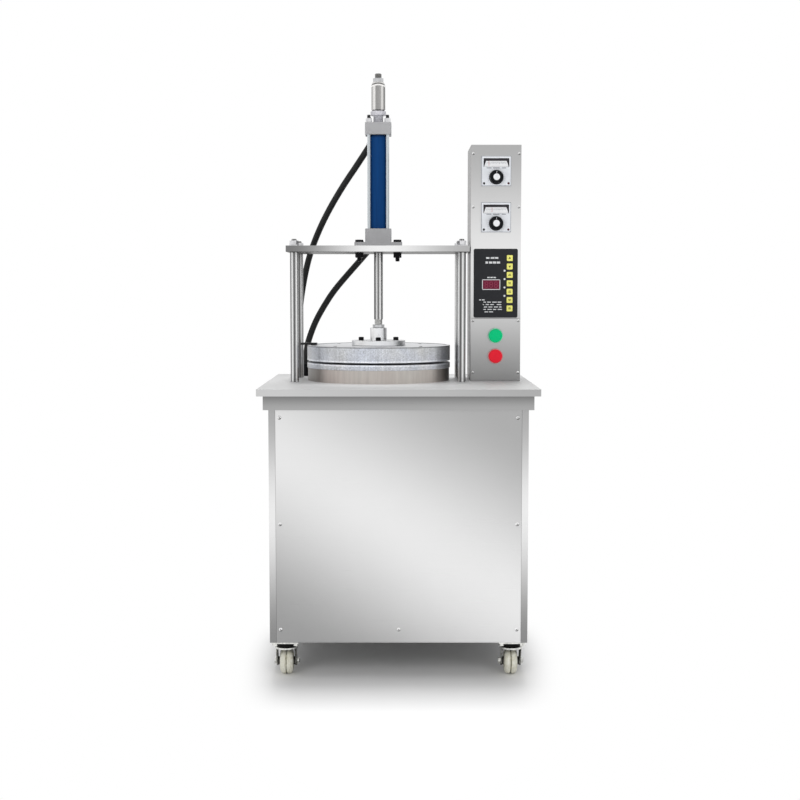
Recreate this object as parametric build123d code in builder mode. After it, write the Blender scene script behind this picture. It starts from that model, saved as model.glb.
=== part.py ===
from build123d import *
from math import pi, radians, sqrt, tan
import os

os.makedirs("parts", exist_ok=True)

# Fits and clearances
running_fit = 0.05  # radial gap of a shaft that slides or turns in its bore
slip_fit = 0.1  # radial gap of a bolt, spigot or pipe in its hole
panel_gap = 0.3  # gap round a panel, a key or a cap
stop_gap = 0.3  # gap between moving pieces that rest on each other

# Table and cabinet
table_width = 640.0
table_depth = 580.0
table_height = 668.0
table_edge = 16.0
table_sheet = 2.0
table_return = 34.0
table_corner = 3.0
table_edge_round = 1.2
apron_inset = 14.0
apron_height = 32.0
body_inset_x = 25.0
body_inset_y = 27.0
panel_sheet = 1.5
bend_radius = 1.2
strip_width = 15.0
floor_sheet = 2.0
tube_width = 25.0
tube_wall = 2.0
post_width = 40.0
bottom_rail_height = 40.0
bearer_offset = 40.0

# Screws of the panels
screw_head_diameter = 9.0
screw_head_height = 2.4
screw_diameter = 5.0
screw_length = 11.0
screw_slot = 1.0
panel_screw_inset = 10.0
panel_screw_top = 18.0
panel_screw_bottom = 31.0

# Vents and cable gland in the back panel
vent_length = 90.0
vent_height = 5.0
vent_pitch = 14.0
vent_rows = 8
vent_spacing = 220.0
vent_level = 470.0
gland_x = 200.0
gland_level = 160.0
gland_bore = 12.0
gland_thread = 20.0
gland_hex = 24.0
gland_hex_height = 6.0
gland_dome = 22.0
gland_dome_height = 16.0
gland_inside = 12.0
gland_nut_height = 5.0

# Casters
wheel_diameter = 60.0
wheel_width = 30.0
wheel_shoulder = 10.5
wheel_rim = 11.0
wheel_web_width = 18.0
wheel_hub_diameter = 19.0
groove_width = 5.0
groove_depth = 4.0
crown_gap = 4.0
crown_thickness = 5.0
crown_diameter = 54.0
race_gap = 0.5
race_height = 10.5
race_diameter = 44.0
caster_plate = 4.0
caster_plate_width = 62.0
caster_bolt_pitch = 46.0
caster_bolt = 8.0
caster_bolt_hex = 13.0
caster_bolt_head = 5.0
king_pin = 10.0
king_pin_head = 18.0
king_pin_head_height = 2.0
fork_leg = 3.5
fork_gap = 5.0
fork_top_half = 14.0
fork_eye = 11.0
caster_trail = 14.0
axle_diameter = 8.0
axle_hex = 13.0
axle_head_height = 5.0
caster_inset_x = 60.0
caster_inset_y = 62.0

# Press frame
press_x = -50.0
press_y = 58.0
column_clearance = 15.0
column_pitch_y = 170.0
column_diameter = 20.0
column_length = 313.0
column_chamfer = 1.0
stud_diameter = 12.0
stud_below = 18.0
stud_above = 16.5
stud_nut_hex = 19.0
stud_nut_height = 10.0
stud_washer = 24.0
stud_washer_thickness = 2.5
bed_margin = 23.0
bridge_overhang = 18.0
bridge_depth = 230.0
bridge_thickness = 15.0
bridge_round = 1.0
bridge_rod_hole = 32.0

# Cylinder
tie_rod_margin = 9.3
block_corner = 2.5
flange_width = 117.0
flange_thickness = 11.0
flange_bolt_pitch_x = 94.0
flange_bolt_pitch_y = 40.0
flange_bolt = 10.0
flange_bolt_hex = 17.0
flange_bolt_head = 6.0
flange_nut_height = 9.0
flange_washer = 20.0
flange_washer_thickness = 2.4
flange_bolt_end = 9.0
head_height = 33.0
barrel_outer = 50.0
barrel_bore = 40.0
barrel_length = 228.0
spigot = 4.0
cap_height = 29.0
neck_diameter = 24.0
neck_height = 19.0
collar_diameter = 38.0
collar_height = 10.0
tie_rod = 8.0
tie_rod_clearance = 3.1
tie_rod_depth = 28.0
tie_nut_hex = 13.0
tie_nut_height = 8.0
tie_washer = 15.0
tie_washer_thickness = 2.0
tie_rod_end = 8.5
port_diameter = 13.2
port_depth = 15.0
port_below_head_top = 17.0
port_above_cap_bottom = 15.0
oil_way = 5.0
oil_way_offset = 16.0

# Ram and platens
lower_housing_step = 2.0
lower_housing_height = 31.2
lower_housing_wall = 14.0
lower_housing_floor = 4.0
lower_boss_diameter = 100.0
lead_hole = 24.0
platen_diameter = 354.0
platen_round = 1.5
lower_platen_thickness = 13.4
press_gap = 4.6
upper_platen_thickness = 37.2
hub_flange_diameter = 132.0
hub_flange_thickness = 11.6
hub_boss_diameter = 41.0
hub_boss_height = 31.0
hub_round = 1.6
hub_thread_depth = 22.0
hub_screw_circle = 86.0
hub_screw = 8.0
hub_screw_head = 13.0
hub_screw_head_height = 8.0
hub_screw_socket = 6.0
hub_screw_depth = 14.0
cover_recess = 4.0
cover_thickness = 3.0
cover_margin = 9.0
heater_pocket_rim = 30.0
heater_pocket_core = 10.0
heater_pocket_depth = 22.0
heater_tube = 9.0
heater_arc = 330.0
heater_gap = 0.1
cover_screw_inset = 22.0
cover_screw_head = 8.0
cover_screw_head_height = 2.0
cover_screw = 4.0
cover_screw_depth = 8.0
terminal_length = 40.0
terminal_width = 24.0
terminal_height = 5.0
terminal_overhang = 16.0
terminal_angle = 178.0
terminal_pin = 5.0
terminal_pin_depth = 10.0
rod_diameter = 22.0
rod_thread = 18.0
rod_flats_diameter = 19.0
rod_flats_height = 12.5
rod_nut_hex = 25.0
rod_nut_height = 8.0
tail_diameter = 16.0
piston_height = 30.0
piston_end_gap = 5.0
piston_nut_hex = 24.0
piston_nut_height = 8.0
seal_groove_width = 4.0
seal_groove_depth = 1.5
seal_groove_spacing = 14.0
sleeve_diameter = 34.4
sleeve_length = 61.6
sleeve_chamfer = 3.5
sleeve_top_diameter = 28.0
sleeve_taper = 8.6
adjuster_nut_hex = 22.0
adjuster_nut_height = 9.4
tail_stub = 10.8

# Control box
box_width = 122.0
box_depth = 165.0
box_height = 572.0
box_x = 236.0
box_front = 3.0
box_sheet = 1.5
box_lip = 10.0
panel_seam = 153.0
box_screw_inset = 5.6
box_screw_head_diameter = 7.0
box_screw_head_height = 2.0
box_screw_diameter = 4.0
box_screw_length = 9.0
box_screw_levels = (21.0, 147.5, 423.0, 551.0)
controller_levels = (508.6, 397.6)
controller_width = 72.0
controller_bezel = 7.0
controller_body = 67.0
controller_depth = 70.0
controller_corner = 3.0
window_width = 62.0
window_height = 21.0
window_rise = 20.0
window_depth = 5.0
knob_drop = 15.0
knob_diameter = 35.0
knob_top_diameter = 33.0
knob_height = 14.0
knob_cap_diameter = 17.0
knob_cap_height = 1.2
knob_shaft = 6.0
knob_shaft_length = 14.0
keypad_width = 107.0
keypad_height = 167.0
keypad_level = 238.3
keypad_thickness = 3.0
keypad_corner = 4.0
keypad_body_width = 98.0
keypad_body_height = 158.0
keypad_body_depth = 40.0
key_count = 7
key_size = 14.4
key_corner = 2.0
key_pitch = 20.33
key_x = 34.0
key_proud = 0.8
key_thickness = 2.2
key_travel_room = 1.2
display_width = 43.0
display_height = 24.0
display_x = -11.0
display_drop = 3.3
display_thickness = 1.6
display_proud = 0.3
lamp_diameter = 5.0
lamp_x = 21.4
lamp_thickness = 1.6
lamp_proud = 0.8
lamp_rows = 4
button_levels = (111.0, 61.0)
button_diameter = 32.0
button_height = 5.6
button_stem = 14.0
button_stem_length = 22.0
button_travel_room = 4.6
collar_ring_diameter = 36.0
collar_ring_height = 8.0
collar_base = 2.0
button_barrel = 22.0
button_barrel_length = 26.0
contact_width = 30.0
contact_depth = 28.0
wire_hole = 36.0

# Hoses: points chosen along the routes
hose_diameter = 16.0
upper_hose_start = 42.0
upper_route = [
    (-102.0, 133.0, 1206.0),
    (-134.0, 149.0, 1162.0),
    (-163.0, 168.0, 1118.0),
    (-189.0, 182.0, 1073.0),
    (-211.0, 197.0, 1028.0),
    (-231.0, 212.0, 977.0),
    (-246.0, 222.0, 915.0),
    (-257.0, 226.0, 845.0),
    (-262.0, 226.0, 770.0),
    (-262.0, 226.0, 700.0),
]
lower_route = [
    (-50.0, 128.0, 1023.0),
    (-50.0, 166.0, 1023.0),
    (-59.7, 201.1, 1012.2),
    (-77.6, 228.0, 992.2),
    (-102.3, 243.3, 964.7),
    (-137.0, 246.0, 926.0),
    (-170.0, 243.0, 887.0),
    (-195.0, 237.0, 848.0),
    (-216.0, 230.0, 810.0),
    (-231.0, 222.0, 771.0),
    (-240.0, 211.0, 736.0),
    (-240.0, 211.0, 700.0),
]
fitting_thread = 13.0
fitting_hex = 19.0
fitting_hex_height = 10.0
fitting_tube = 14.0
elbow_reach = 22.0
ferrule_diameter = 19.5
ferrule_length = 20.0
union_nut_height = 10.0
union_length = 38.0
bulkhead_hex = 20.0
bulkhead_hex_height = 8.0
bulkhead_ferrule = 24.0
bulkhead_thread = 16.0
bulkhead_below = 38.0
bulkhead_nut_height = 8.0

# Power pack inside the cabinet
tank_length = 300.0
tank_depth = 270.0
tank_height = 204.0
tank_x = -115.0
tank_y = 96.0
tank_wall = 2.0
lid_overhang = 4.0
lid_thickness = 4.0
filler_diameter = 46.0
filler_height = 18.0
filler_offset = 105.0
motor_x = -60.0
motor_y = 90.0
motor_diameter = 118.0
motor_height = 190.0
motor_flange_diameter = 150.0
motor_flange_thickness = 8.0
fin_count = 28
fin_height = 8.0
fin_thickness = 3.0
fin_margin = 14.0
motor_shaft = 16.0
shaft_hole = 40.0
shaft_below = 55.0
fan_cover_diameter = 134.0
fan_cover_height = 48.0
fan_cover_wall = 2.0
fan_slot_count = 12
fan_slot_length = 26.0
fan_slot_width = 6.0
fan_slot_radius = 42.0
fan_diameter = 112.0
fan_disc = 4.0
fan_blades = 8
fan_blade_height = 16.0
fan_blade_thickness = 3.0
fan_clearance = 12.0
terminal_box = (46.0, 70.0, 60.0)
pump_size = (80.0, 70.0, 70.0)
valve_x = -252.0
valve_y = 215.0
valve_size = (52.0, 40.0, 56.0)
coil_diameter = 36.0
coil_length = 58.0
pipe_diameter = 10.0

# Levels and half sizes that follow from the sizes above
table_bottom = table_height - table_edge
apron_bottom = table_bottom - apron_height
sheet_bottom = table_height - table_sheet
apron_half_x = table_width / 2 - apron_inset
apron_half_y = table_depth / 2 - apron_inset
body_half_x = table_width / 2 - body_inset_x
body_half_y = table_depth / 2 - body_inset_y
inner_half_x = body_half_x - panel_sheet
inner_half_y = body_half_y - panel_sheet
axle_level = wheel_diameter / 2
crown_bottom = wheel_diameter + crown_gap
crown_top = crown_bottom + crown_thickness
race_bottom = crown_top + race_gap
caster_plate_bottom = race_bottom + race_height
body_bottom = caster_plate_bottom + caster_plate
frame_bottom = body_bottom + floor_sheet
bridge_bottom = table_height + column_length
bridge_top = bridge_bottom + bridge_thickness
flange_top = bridge_top + flange_thickness
head_top = flange_top + head_height
cap_bottom = head_top + barrel_length
cap_top = cap_bottom + cap_height
collar_bottom = cap_top + neck_height
collar_top = collar_bottom + collar_height
lower_platen_bottom = table_height + lower_housing_height
lower_platen_top = lower_platen_bottom + lower_platen_thickness
upper_platen_bottom = lower_platen_top + press_gap
upper_platen_top = upper_platen_bottom + upper_platen_thickness
cover_seat = upper_platen_top - cover_recess
cover_top = cover_seat + cover_thickness
hub_flange_top = upper_platen_top + hub_flange_thickness
hub_top = hub_flange_top + hub_boss_height
rod_nut_top = hub_top + rod_nut_height
rod_shoulder = rod_nut_top + rod_flats_height
piston_bottom = head_top - spigot + piston_end_gap
piston_top = piston_bottom + piston_height
sleeve_bottom = collar_top + stop_gap
sleeve_top = sleeve_bottom + sleeve_length + sleeve_taper
adjuster_nut_bottom = sleeve_top + stop_gap
adjuster_nut_top = adjuster_nut_bottom + adjuster_nut_height
tail_top = adjuster_nut_top + tail_stub
cover_diameter = platen_diameter - 2 * cover_margin
cover_screw_circle = cover_diameter - 2 * cover_screw_inset
heater_pocket_outer = cover_diameter - 2 * heater_pocket_rim
heater_pocket_inner = hub_flange_diameter + 2 * heater_pocket_core
heater_circle = (heater_pocket_outer + heater_pocket_inner) / 2
lower_housing_diameter = platen_diameter - 2 * lower_housing_step
column_pitch_x = platen_diameter + column_diameter + 2 * column_clearance
bridge_width = column_pitch_x + 2 * bridge_overhang
tie_rod_pitch = (barrel_outer + tie_rod + 2 * tie_rod_clearance) / sqrt(2)
block_width = tie_rod_pitch + 2 * tie_rod_margin
block_back = press_y + block_width / 2
head_port = head_top - port_below_head_top
cap_port = cap_bottom + port_above_cap_bottom
panel_half_width = body_half_x - strip_width - panel_gap
panel_height = apron_bottom - body_bottom - panel_gap
box_face = box_front + box_sheet
bezel_front = box_front - controller_bezel
keypad_front = box_front - keypad_thickness
tank_top = frame_bottom + tank_height
lid_top = tank_top + lid_thickness
motor_bottom = lid_top + motor_flange_thickness
motor_top = motor_bottom + motor_height
corners = [(side_x, side_y) for side_x in (-1, 1) for side_y in (-1, 1)]
column_places = [
    (press_x + side_x * column_pitch_x / 2, press_y + side_y * column_pitch_y / 2)
    for side_x, side_y in corners
]
caster_places = {
    "front_left": (-1, -1),
    "front_right": (1, -1),
    "rear_left": (-1, 1),
    "rear_right": (1, 1),
}
screw_x = panel_half_width + panel_gap - panel_screw_inset
screw_low = body_bottom + panel_screw_bottom
screw_high = apron_bottom - panel_screw_top
panel_screw_places = [
    (side * screw_x, level)
    for side in (-1, 1)
    for level in (screw_low, (screw_low + screw_high) / 2, screw_high)
] + [(0.0, screw_low)]
box_screw_places = [
    (box_x + side * (box_width / 2 - box_screw_inset), table_height + level)
    for side in (-1, 1)
    for level in box_screw_levels
]
bulkhead_places = [upper_route[-1][:2], lower_route[-1][:2]]


def save(part, name):
    """Labels a finished piece and writes its file."""
    part.label = name
    export_step(part, f"parts/{name}.step")


def save_group(pieces, name):
    """Writes several separate solids as one named piece."""
    group = Compound(children=list(pieces))
    save(group, name)


def level(z, x=press_x, y=press_y):
    """A plane that faces up, on the press axis unless told otherwise."""
    return Plane((x, y, z))


def facing_front(y, x=0.0, z=0.0):
    """A plane that faces the front, with its own y upwards."""
    return Plane((x, y, z), x_dir=(1, 0, 0), z_dir=(0, -1, 0))


def facing_back(y, x=0.0, z=0.0):
    """A plane that faces the back, with its own y upwards."""
    return Plane((x, y, z), x_dir=(-1, 0, 0), z_dir=(0, 1, 0))


def low_edge(side, outer, width):
    """The low end of a width that lies against +outer or -outer."""
    return outer - width if side > 0 else -outer


def hex_nut(plane, across, height, bore, edge=0.7):
    """A hexagon nut that stands on a plane, with both ends chamfered."""
    with BuildPart() as nut:
        with BuildSketch(plane):
            RegularPolygon(across / 2, 6, major_radius=False)
        extrude(amount=height)
        chamfer(nut.faces().filter_by(plane).edges(), edge)
        with BuildSketch(plane):
            Circle(bore)
        extrude(amount=height, mode=Mode.SUBTRACT)
    return nut.part


def washer(plane, diameter, thickness, bore):
    """A flat washer that lies on a plane."""
    with BuildPart() as ring:
        with BuildSketch(plane):
            Circle(diameter / 2)
            Circle(bore, mode=Mode.SUBTRACT)
        extrude(amount=thickness)
    return ring.part


def square_tube(low, size, along, holes=()):
    """A square tube from its low corner, with screw holes in its front and back walls."""
    bore = [size[i] if i == along else size[i] - 2 * tube_wall for i in range(3)]
    inset = tuple(low[i] if i == along else low[i] + tube_wall for i in range(3))
    with BuildPart() as tube:
        with Locations(low):
            Box(*size, align=(Align.MIN, Align.MIN, Align.MIN))
        with Locations(inset):
            Box(*bore, align=(Align.MIN, Align.MIN, Align.MIN), mode=Mode.SUBTRACT)
        if holes:
            with BuildSketch(facing_front(low[1])):
                with Locations(*holes):
                    Circle(screw_diameter / 2 + slip_fit)
            extrude(amount=-size[1], mode=Mode.SUBTRACT)
    return tube.part


def pan_screws(plane, places, head, head_height, diameter, length):
    """Cross-slotted screws whose heads sit on a plane."""
    with BuildPart() as screws:
        with BuildSketch(plane):
            with Locations(*places):
                Circle(head / 2)
        extrude(amount=head_height)
        head_tops = screws.faces().sort_by(Axis(plane.origin, plane.z_dir))[-len(places) :]
        fillet(head_tops.edges(), head_height * 0.6)
        with BuildSketch(plane):
            with Locations(*places):
                Circle(diameter / 2)
        extrude(amount=-length)
        with BuildSketch(plane.offset(head_height)):
            with Locations(*places):
                Rectangle(screw_slot, head * 0.55)
                Rectangle(head * 0.55, screw_slot)
        extrude(amount=-head_height * 0.6, mode=Mode.SUBTRACT)
    return screws.part


# Table top: a folded pan with a return that rests on the apron
with BuildPart() as table_top:
    with BuildSketch(level(table_bottom, 0, 0)):
        RectangleRounded(table_width, table_depth, table_corner)
    extrude(amount=table_edge)
    fillet(table_top.faces().sort_by(Axis.Z)[-1].edges(), table_edge_round)
    with BuildSketch(level(table_bottom + table_sheet, 0, 0)):
        Rectangle(table_width - 2 * table_sheet, table_depth - 2 * table_sheet)
    extrude(amount=table_edge - 2 * table_sheet, mode=Mode.SUBTRACT)
    with BuildSketch(level(table_bottom, 0, 0)):
        Rectangle(table_width - 2 * table_return, table_depth - 2 * table_return)
    extrude(amount=table_sheet, mode=Mode.SUBTRACT)
    with BuildSketch(level(sheet_bottom, 0, 0)):
        with Locations(*column_places):
            Circle(stud_diameter / 2 + slip_fit)
        with Locations(*bulkhead_places):
            Circle(bulkhead_thread / 2 + slip_fit)
        with Locations((press_x, press_y)):
            Circle(lead_hole / 2)
        with Locations((box_x, box_front + box_depth / 2)):
            Circle(wire_hole / 2)
    extrude(amount=table_sheet, mode=Mode.SUBTRACT)
save(table_top.part, "table_top")

# Frame of square tubes: apron, bearers under the press, corner posts and bottom rails
tubes = []
apron_bore = (tube_width - 2 * tube_wall, apron_height - 2 * tube_wall)
for turn, length, reach in ((0, 2 * apron_half_x, apron_half_y), (90, 2 * apron_half_y, apron_half_x)):
    for side in (turn, turn + 180):
        rail_plane = level(apron_bottom, 0, 0).rotated((0, 0, side))
        with BuildPart() as apron_rail:
            with BuildSketch(rail_plane):
                with BuildLine():
                    Polyline(
                        (-length / 2, -reach),
                        (length / 2, -reach),
                        (length / 2 - tube_width, tube_width - reach),
                        (tube_width - length / 2, tube_width - reach),
                        close=True,
                    )
                make_face()
            extrude(amount=apron_height)
            with BuildSketch(rail_plane.offset(tube_wall)):
                with Locations((0, tube_width / 2 - reach)):
                    Rectangle(length, apron_bore[0])
            extrude(amount=apron_bore[1], mode=Mode.SUBTRACT)
        tubes.append(apron_rail.part)
for side in (-1, 1):
    bearer_y = press_y + side * bearer_offset - tube_width / 2
    tubes.append(
        square_tube(
            (tube_width - apron_half_x, bearer_y, apron_bottom),
            (2 * (apron_half_x - tube_width), tube_width, apron_height),
            0,
        )
    )
    tubes.append(
        square_tube(
            (post_width - inner_half_x, low_edge(side, inner_half_y, tube_width), frame_bottom),
            (2 * (inner_half_x - post_width), tube_width, bottom_rail_height),
            0,
            [panel_screw_places[-1]],
        )
    )
    tubes.append(
        square_tube(
            (low_edge(side, inner_half_x, tube_width), tube_width - inner_half_y, frame_bottom),
            (tube_width, 2 * (inner_half_y - tube_width), bottom_rail_height),
            1,
        )
    )
for side_x, side_y in corners:
    post_low = (
        low_edge(side_x, inner_half_x, post_width),
        low_edge(side_y, inner_half_y, tube_width),
        frame_bottom,
    )
    post_screws = [place for place in panel_screw_places if place[0] * side_x > 0]
    post_size = (post_width, tube_width, apron_bottom - frame_bottom)
    tubes.append(square_tube(post_low, post_size, 2, post_screws))
save_group(tubes, "frame_tubes")

# Floor pan
caster_centres = [
    (side_x * (table_width / 2 - caster_inset_x), side_y * (table_depth / 2 - caster_inset_y))
    for side_x, side_y in caster_places.values()
]
with BuildPart() as floor_pan:
    with BuildSketch(level(body_bottom, 0, 0)):
        Rectangle(2 * inner_half_x, 2 * inner_half_y)
        for centre in caster_centres:
            with Locations(centre):
                with GridLocations(caster_bolt_pitch, caster_bolt_pitch, 2, 2):
                    Circle(caster_bolt / 2 + slip_fit, mode=Mode.SUBTRACT)
    extrude(amount=floor_sheet)
save(floor_pan.part, "floor_pan")

# Side panels: folded sheets with a strip round the front and the back
panels = []
for side in (-1, 1):
    with BuildPart() as side_panel:
        with BuildSketch(level(body_bottom, side * (body_half_x - strip_width / 2), 0)):
            Rectangle(strip_width, 2 * body_half_y)
        extrude(amount=apron_bottom - body_bottom)
        outer_edges = side_panel.edges().filter_by(Axis.Z).sort_by(Axis.X)
        fillet(outer_edges[:2] if side < 0 else outer_edges[-2:], bend_radius)
        with BuildSketch(level(body_bottom, side * (inner_half_x - strip_width / 2), 0)):
            Rectangle(strip_width, 2 * inner_half_y)
        extrude(amount=apron_bottom - body_bottom, mode=Mode.SUBTRACT)
    panels.append(side_panel.part)
save_group(panels, "side_panels")

# Front panel
with BuildPart() as front_panel:
    with BuildSketch(facing_front(-inner_half_y, 0, body_bottom + panel_height / 2)):
        Rectangle(2 * panel_half_width, panel_height)
    extrude(amount=panel_sheet)
    fillet(front_panel.faces().sort_by(Axis.Y)[0].edges(), panel_sheet / 2)
    with BuildSketch(facing_front(-inner_half_y)):
        with Locations(*panel_screw_places):
            Circle(screw_diameter / 2 + slip_fit)
    extrude(amount=panel_sheet, mode=Mode.SUBTRACT)
save(front_panel.part, "front_panel")

# Back panel with two stacks of vents and the hole for the cable gland
with BuildPart() as back_panel:
    with BuildSketch(facing_back(inner_half_y, 0, body_bottom + panel_height / 2)):
        Rectangle(2 * panel_half_width, panel_height)
    extrude(amount=panel_sheet)
    fillet(back_panel.faces().sort_by(Axis.Y)[-1].edges(), panel_sheet / 2)
    with BuildSketch(facing_front(body_half_y)):
        with Locations(*panel_screw_places):
            Circle(screw_diameter / 2 + slip_fit)
        with Locations((0, vent_level)):
            with GridLocations(vent_spacing, vent_pitch, 2, vent_rows):
                SlotOverall(vent_length, vent_height)
        with Locations((gland_x, gland_level)):
            Circle(gland_thread / 2 + slip_fit)
    extrude(amount=panel_sheet, mode=Mode.SUBTRACT)
save(back_panel.part, "back_panel")

# Screws of the cabinet panels and of the control panel
front_screws = pan_screws(
    facing_front(-body_half_y),
    panel_screw_places,
    screw_head_diameter,
    screw_head_height,
    screw_diameter,
    screw_length,
)
back_screws = pan_screws(
    facing_back(body_half_y),
    [(-x, z) for x, z in panel_screw_places],
    screw_head_diameter,
    screw_head_height,
    screw_diameter,
    screw_length,
)
box_screws = pan_screws(
    facing_front(box_front),
    box_screw_places,
    box_screw_head_diameter,
    box_screw_head_height,
    box_screw_diameter,
    box_screw_length,
)
save_group([front_screws, back_screws, box_screws], "cover_screws")

# Bed plate between the bearers and the table sheet
with BuildPart() as bed_plate:
    with BuildSketch(level(table_bottom)):
        Rectangle(column_pitch_x + 2 * bed_margin, column_pitch_y + 2 * bed_margin)
        Circle(lead_hole / 2, mode=Mode.SUBTRACT)
        with GridLocations(column_pitch_x, column_pitch_y, 2, 2):
            Circle(stud_diameter / 2 + slip_fit, mode=Mode.SUBTRACT)
    extrude(amount=sheet_bottom - table_bottom)
save(bed_plate.part, "bed_plate")

# Columns with a stud at each end
stud_bottom = table_bottom - stud_washer_thickness - stud_below
stud_top = bridge_top + stud_above
with BuildPart() as columns:
    with BuildSketch(level(table_height)):
        with GridLocations(column_pitch_x, column_pitch_y, 2, 2):
            Circle(column_diameter / 2)
    extrude(amount=column_length)
    chamfer(columns.edges().filter_by(GeomType.CIRCLE), column_chamfer)
    with BuildSketch(level(stud_bottom)):
        with GridLocations(column_pitch_x, column_pitch_y, 2, 2):
            Circle(stud_diameter / 2)
    extrude(amount=stud_top - stud_bottom)
    chamfer(columns.faces().filter_by(Axis.Z).group_by(Axis.Z)[-1].edges(), column_chamfer)
save(columns.part, "columns")

# Column nuts and washers, above the bridge and under the bed plate
column_nuts = []
stud_hole = stud_diameter / 2 + slip_fit
for x, y in column_places:
    nut_top_plane = level(bridge_top + stud_washer_thickness, x, y)
    nut_low_plane = level(table_bottom - stud_washer_thickness - stud_nut_height, x, y)
    column_nuts.append(washer(level(bridge_top, x, y), stud_washer, stud_washer_thickness, stud_hole))
    column_nuts.append(hex_nut(nut_top_plane, stud_nut_hex, stud_nut_height, stud_hole))
    low_washer_plane = level(table_bottom - stud_washer_thickness, x, y)
    column_nuts.append(washer(low_washer_plane, stud_washer, stud_washer_thickness, stud_hole))
    column_nuts.append(hex_nut(nut_low_plane, stud_nut_hex, stud_nut_height, stud_hole))
save_group(column_nuts, "column_nuts")

# Bridge plate
with BuildPart() as bridge_plate:
    with BuildSketch(level(bridge_bottom)):
        Rectangle(bridge_width, bridge_depth)
    extrude(amount=bridge_thickness)
    fillet(bridge_plate.edges(), bridge_round)
    with BuildSketch(level(bridge_bottom)):
        Circle(bridge_rod_hole / 2)
        with GridLocations(column_pitch_x, column_pitch_y, 2, 2):
            Circle(stud_hole)
        with GridLocations(flange_bolt_pitch_x, flange_bolt_pitch_y, 2, 2):
            Circle(flange_bolt / 2 + slip_fit)
    extrude(amount=bridge_thickness, mode=Mode.SUBTRACT)
save(bridge_plate.part, "bridge_plate")

# Cylinder head: a square block on a wide flange
with BuildPart() as cylinder_head:
    with BuildSketch(level(bridge_top)):
        RectangleRounded(flange_width, block_width, block_corner)
    extrude(amount=flange_thickness)
    with BuildSketch(level(flange_top)):
        RectangleRounded(block_width, block_width, block_corner)
    extrude(amount=head_height)
    chamfer(cylinder_head.faces().sort_by(Axis.Z)[-1].edges(), bridge_round)
    with BuildSketch(level(head_top)):
        Circle(barrel_outer / 2 + slip_fit)
    extrude(amount=-spigot, mode=Mode.SUBTRACT)
    with BuildSketch(level(bridge_top)):
        Circle(rod_diameter / 2 + running_fit)
        with GridLocations(flange_bolt_pitch_x, flange_bolt_pitch_y, 2, 2):
            Circle(flange_bolt / 2 + slip_fit)
    extrude(amount=flange_thickness + head_height, mode=Mode.SUBTRACT)
    with BuildSketch(level(head_top)):
        with GridLocations(tie_rod_pitch, tie_rod_pitch, 2, 2):
            Circle(tie_rod / 2 + slip_fit)
    extrude(amount=-tie_rod_depth, mode=Mode.SUBTRACT)
    with BuildSketch(facing_back(block_back, press_x, head_port)):
        Circle(port_diameter / 2)
    extrude(amount=-port_depth, mode=Mode.SUBTRACT)
    with BuildSketch(level(head_port)):
        with Locations((0, oil_way_offset)):
            Circle(oil_way / 2)
    extrude(amount=port_below_head_top - spigot, mode=Mode.SUBTRACT)
save(cylinder_head.part, "cylinder_head")

# Cylinder barrel
with BuildPart() as cylinder_barrel:
    with BuildSketch(level(head_top - spigot)):
        Circle(barrel_outer / 2)
        Circle(barrel_bore / 2, mode=Mode.SUBTRACT)
    extrude(amount=barrel_length + 2 * spigot)
save(cylinder_barrel.part, "cylinder_barrel")

# Cylinder cap with the neck and collar that the stroke adjuster rests on
with BuildPart() as cylinder_cap:
    with BuildSketch(level(cap_bottom)):
        RectangleRounded(block_width, block_width, block_corner)
    extrude(amount=cap_height)
    chamfer(cylinder_cap.faces().filter_by(Axis.Z).edges(), bridge_round)
    with BuildSketch(level(cap_top)):
        Circle(neck_diameter / 2)
    extrude(amount=neck_height)
    with BuildSketch(level(collar_bottom)):
        Circle(collar_diameter / 2)
    extrude(amount=collar_height)
    chamfer(cylinder_cap.faces().sort_by(Axis.Z)[-1].edges(), bridge_round)
    with BuildSketch(level(cap_bottom)):
        Circle(barrel_outer / 2 + slip_fit)
    extrude(amount=spigot, mode=Mode.SUBTRACT)
    with BuildSketch(level(cap_bottom)):
        Circle(tail_diameter / 2 + running_fit)
    extrude(amount=collar_top - cap_bottom, mode=Mode.SUBTRACT)
    with BuildSketch(level(cap_bottom)):
        with GridLocations(tie_rod_pitch, tie_rod_pitch, 2, 2):
            Circle(tie_rod / 2 + slip_fit)
    extrude(amount=cap_height, mode=Mode.SUBTRACT)
    with BuildSketch(facing_back(block_back, press_x, cap_port)):
        Circle(port_diameter / 2)
    extrude(amount=-port_depth, mode=Mode.SUBTRACT)
    with BuildSketch(level(cap_port)):
        with Locations((0, oil_way_offset)):
            Circle(oil_way / 2)
    extrude(amount=-(port_above_cap_bottom - spigot), mode=Mode.SUBTRACT)
save(cylinder_cap.part, "cylinder_cap")

# Tie rods with their nuts and washers
tie_rod_top = cap_top + tie_washer_thickness + tie_nut_height + tie_rod_end
with BuildPart() as tie_rods:
    with BuildSketch(level(head_top - tie_rod_depth)):
        with GridLocations(tie_rod_pitch, tie_rod_pitch, 2, 2):
            Circle(tie_rod / 2)
    extrude(amount=tie_rod_top - head_top + tie_rod_depth)
    chamfer(tie_rods.faces().filter_by(Axis.Z).group_by(Axis.Z)[-1].edges(), column_chamfer)
tie_pieces = [tie_rods.part]
tie_hole = tie_rod / 2 + slip_fit
for side_x, side_y in corners:
    x = press_x + side_x * tie_rod_pitch / 2
    y = press_y + side_y * tie_rod_pitch / 2
    tie_pieces.append(washer(level(cap_top, x, y), tie_washer, tie_washer_thickness, tie_hole))
    tie_nut_plane = level(cap_top + tie_washer_thickness, x, y)
    tie_pieces.append(hex_nut(tie_nut_plane, tie_nut_hex, tie_nut_height, tie_hole))
save_group(tie_pieces, "tie_rods")

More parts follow.
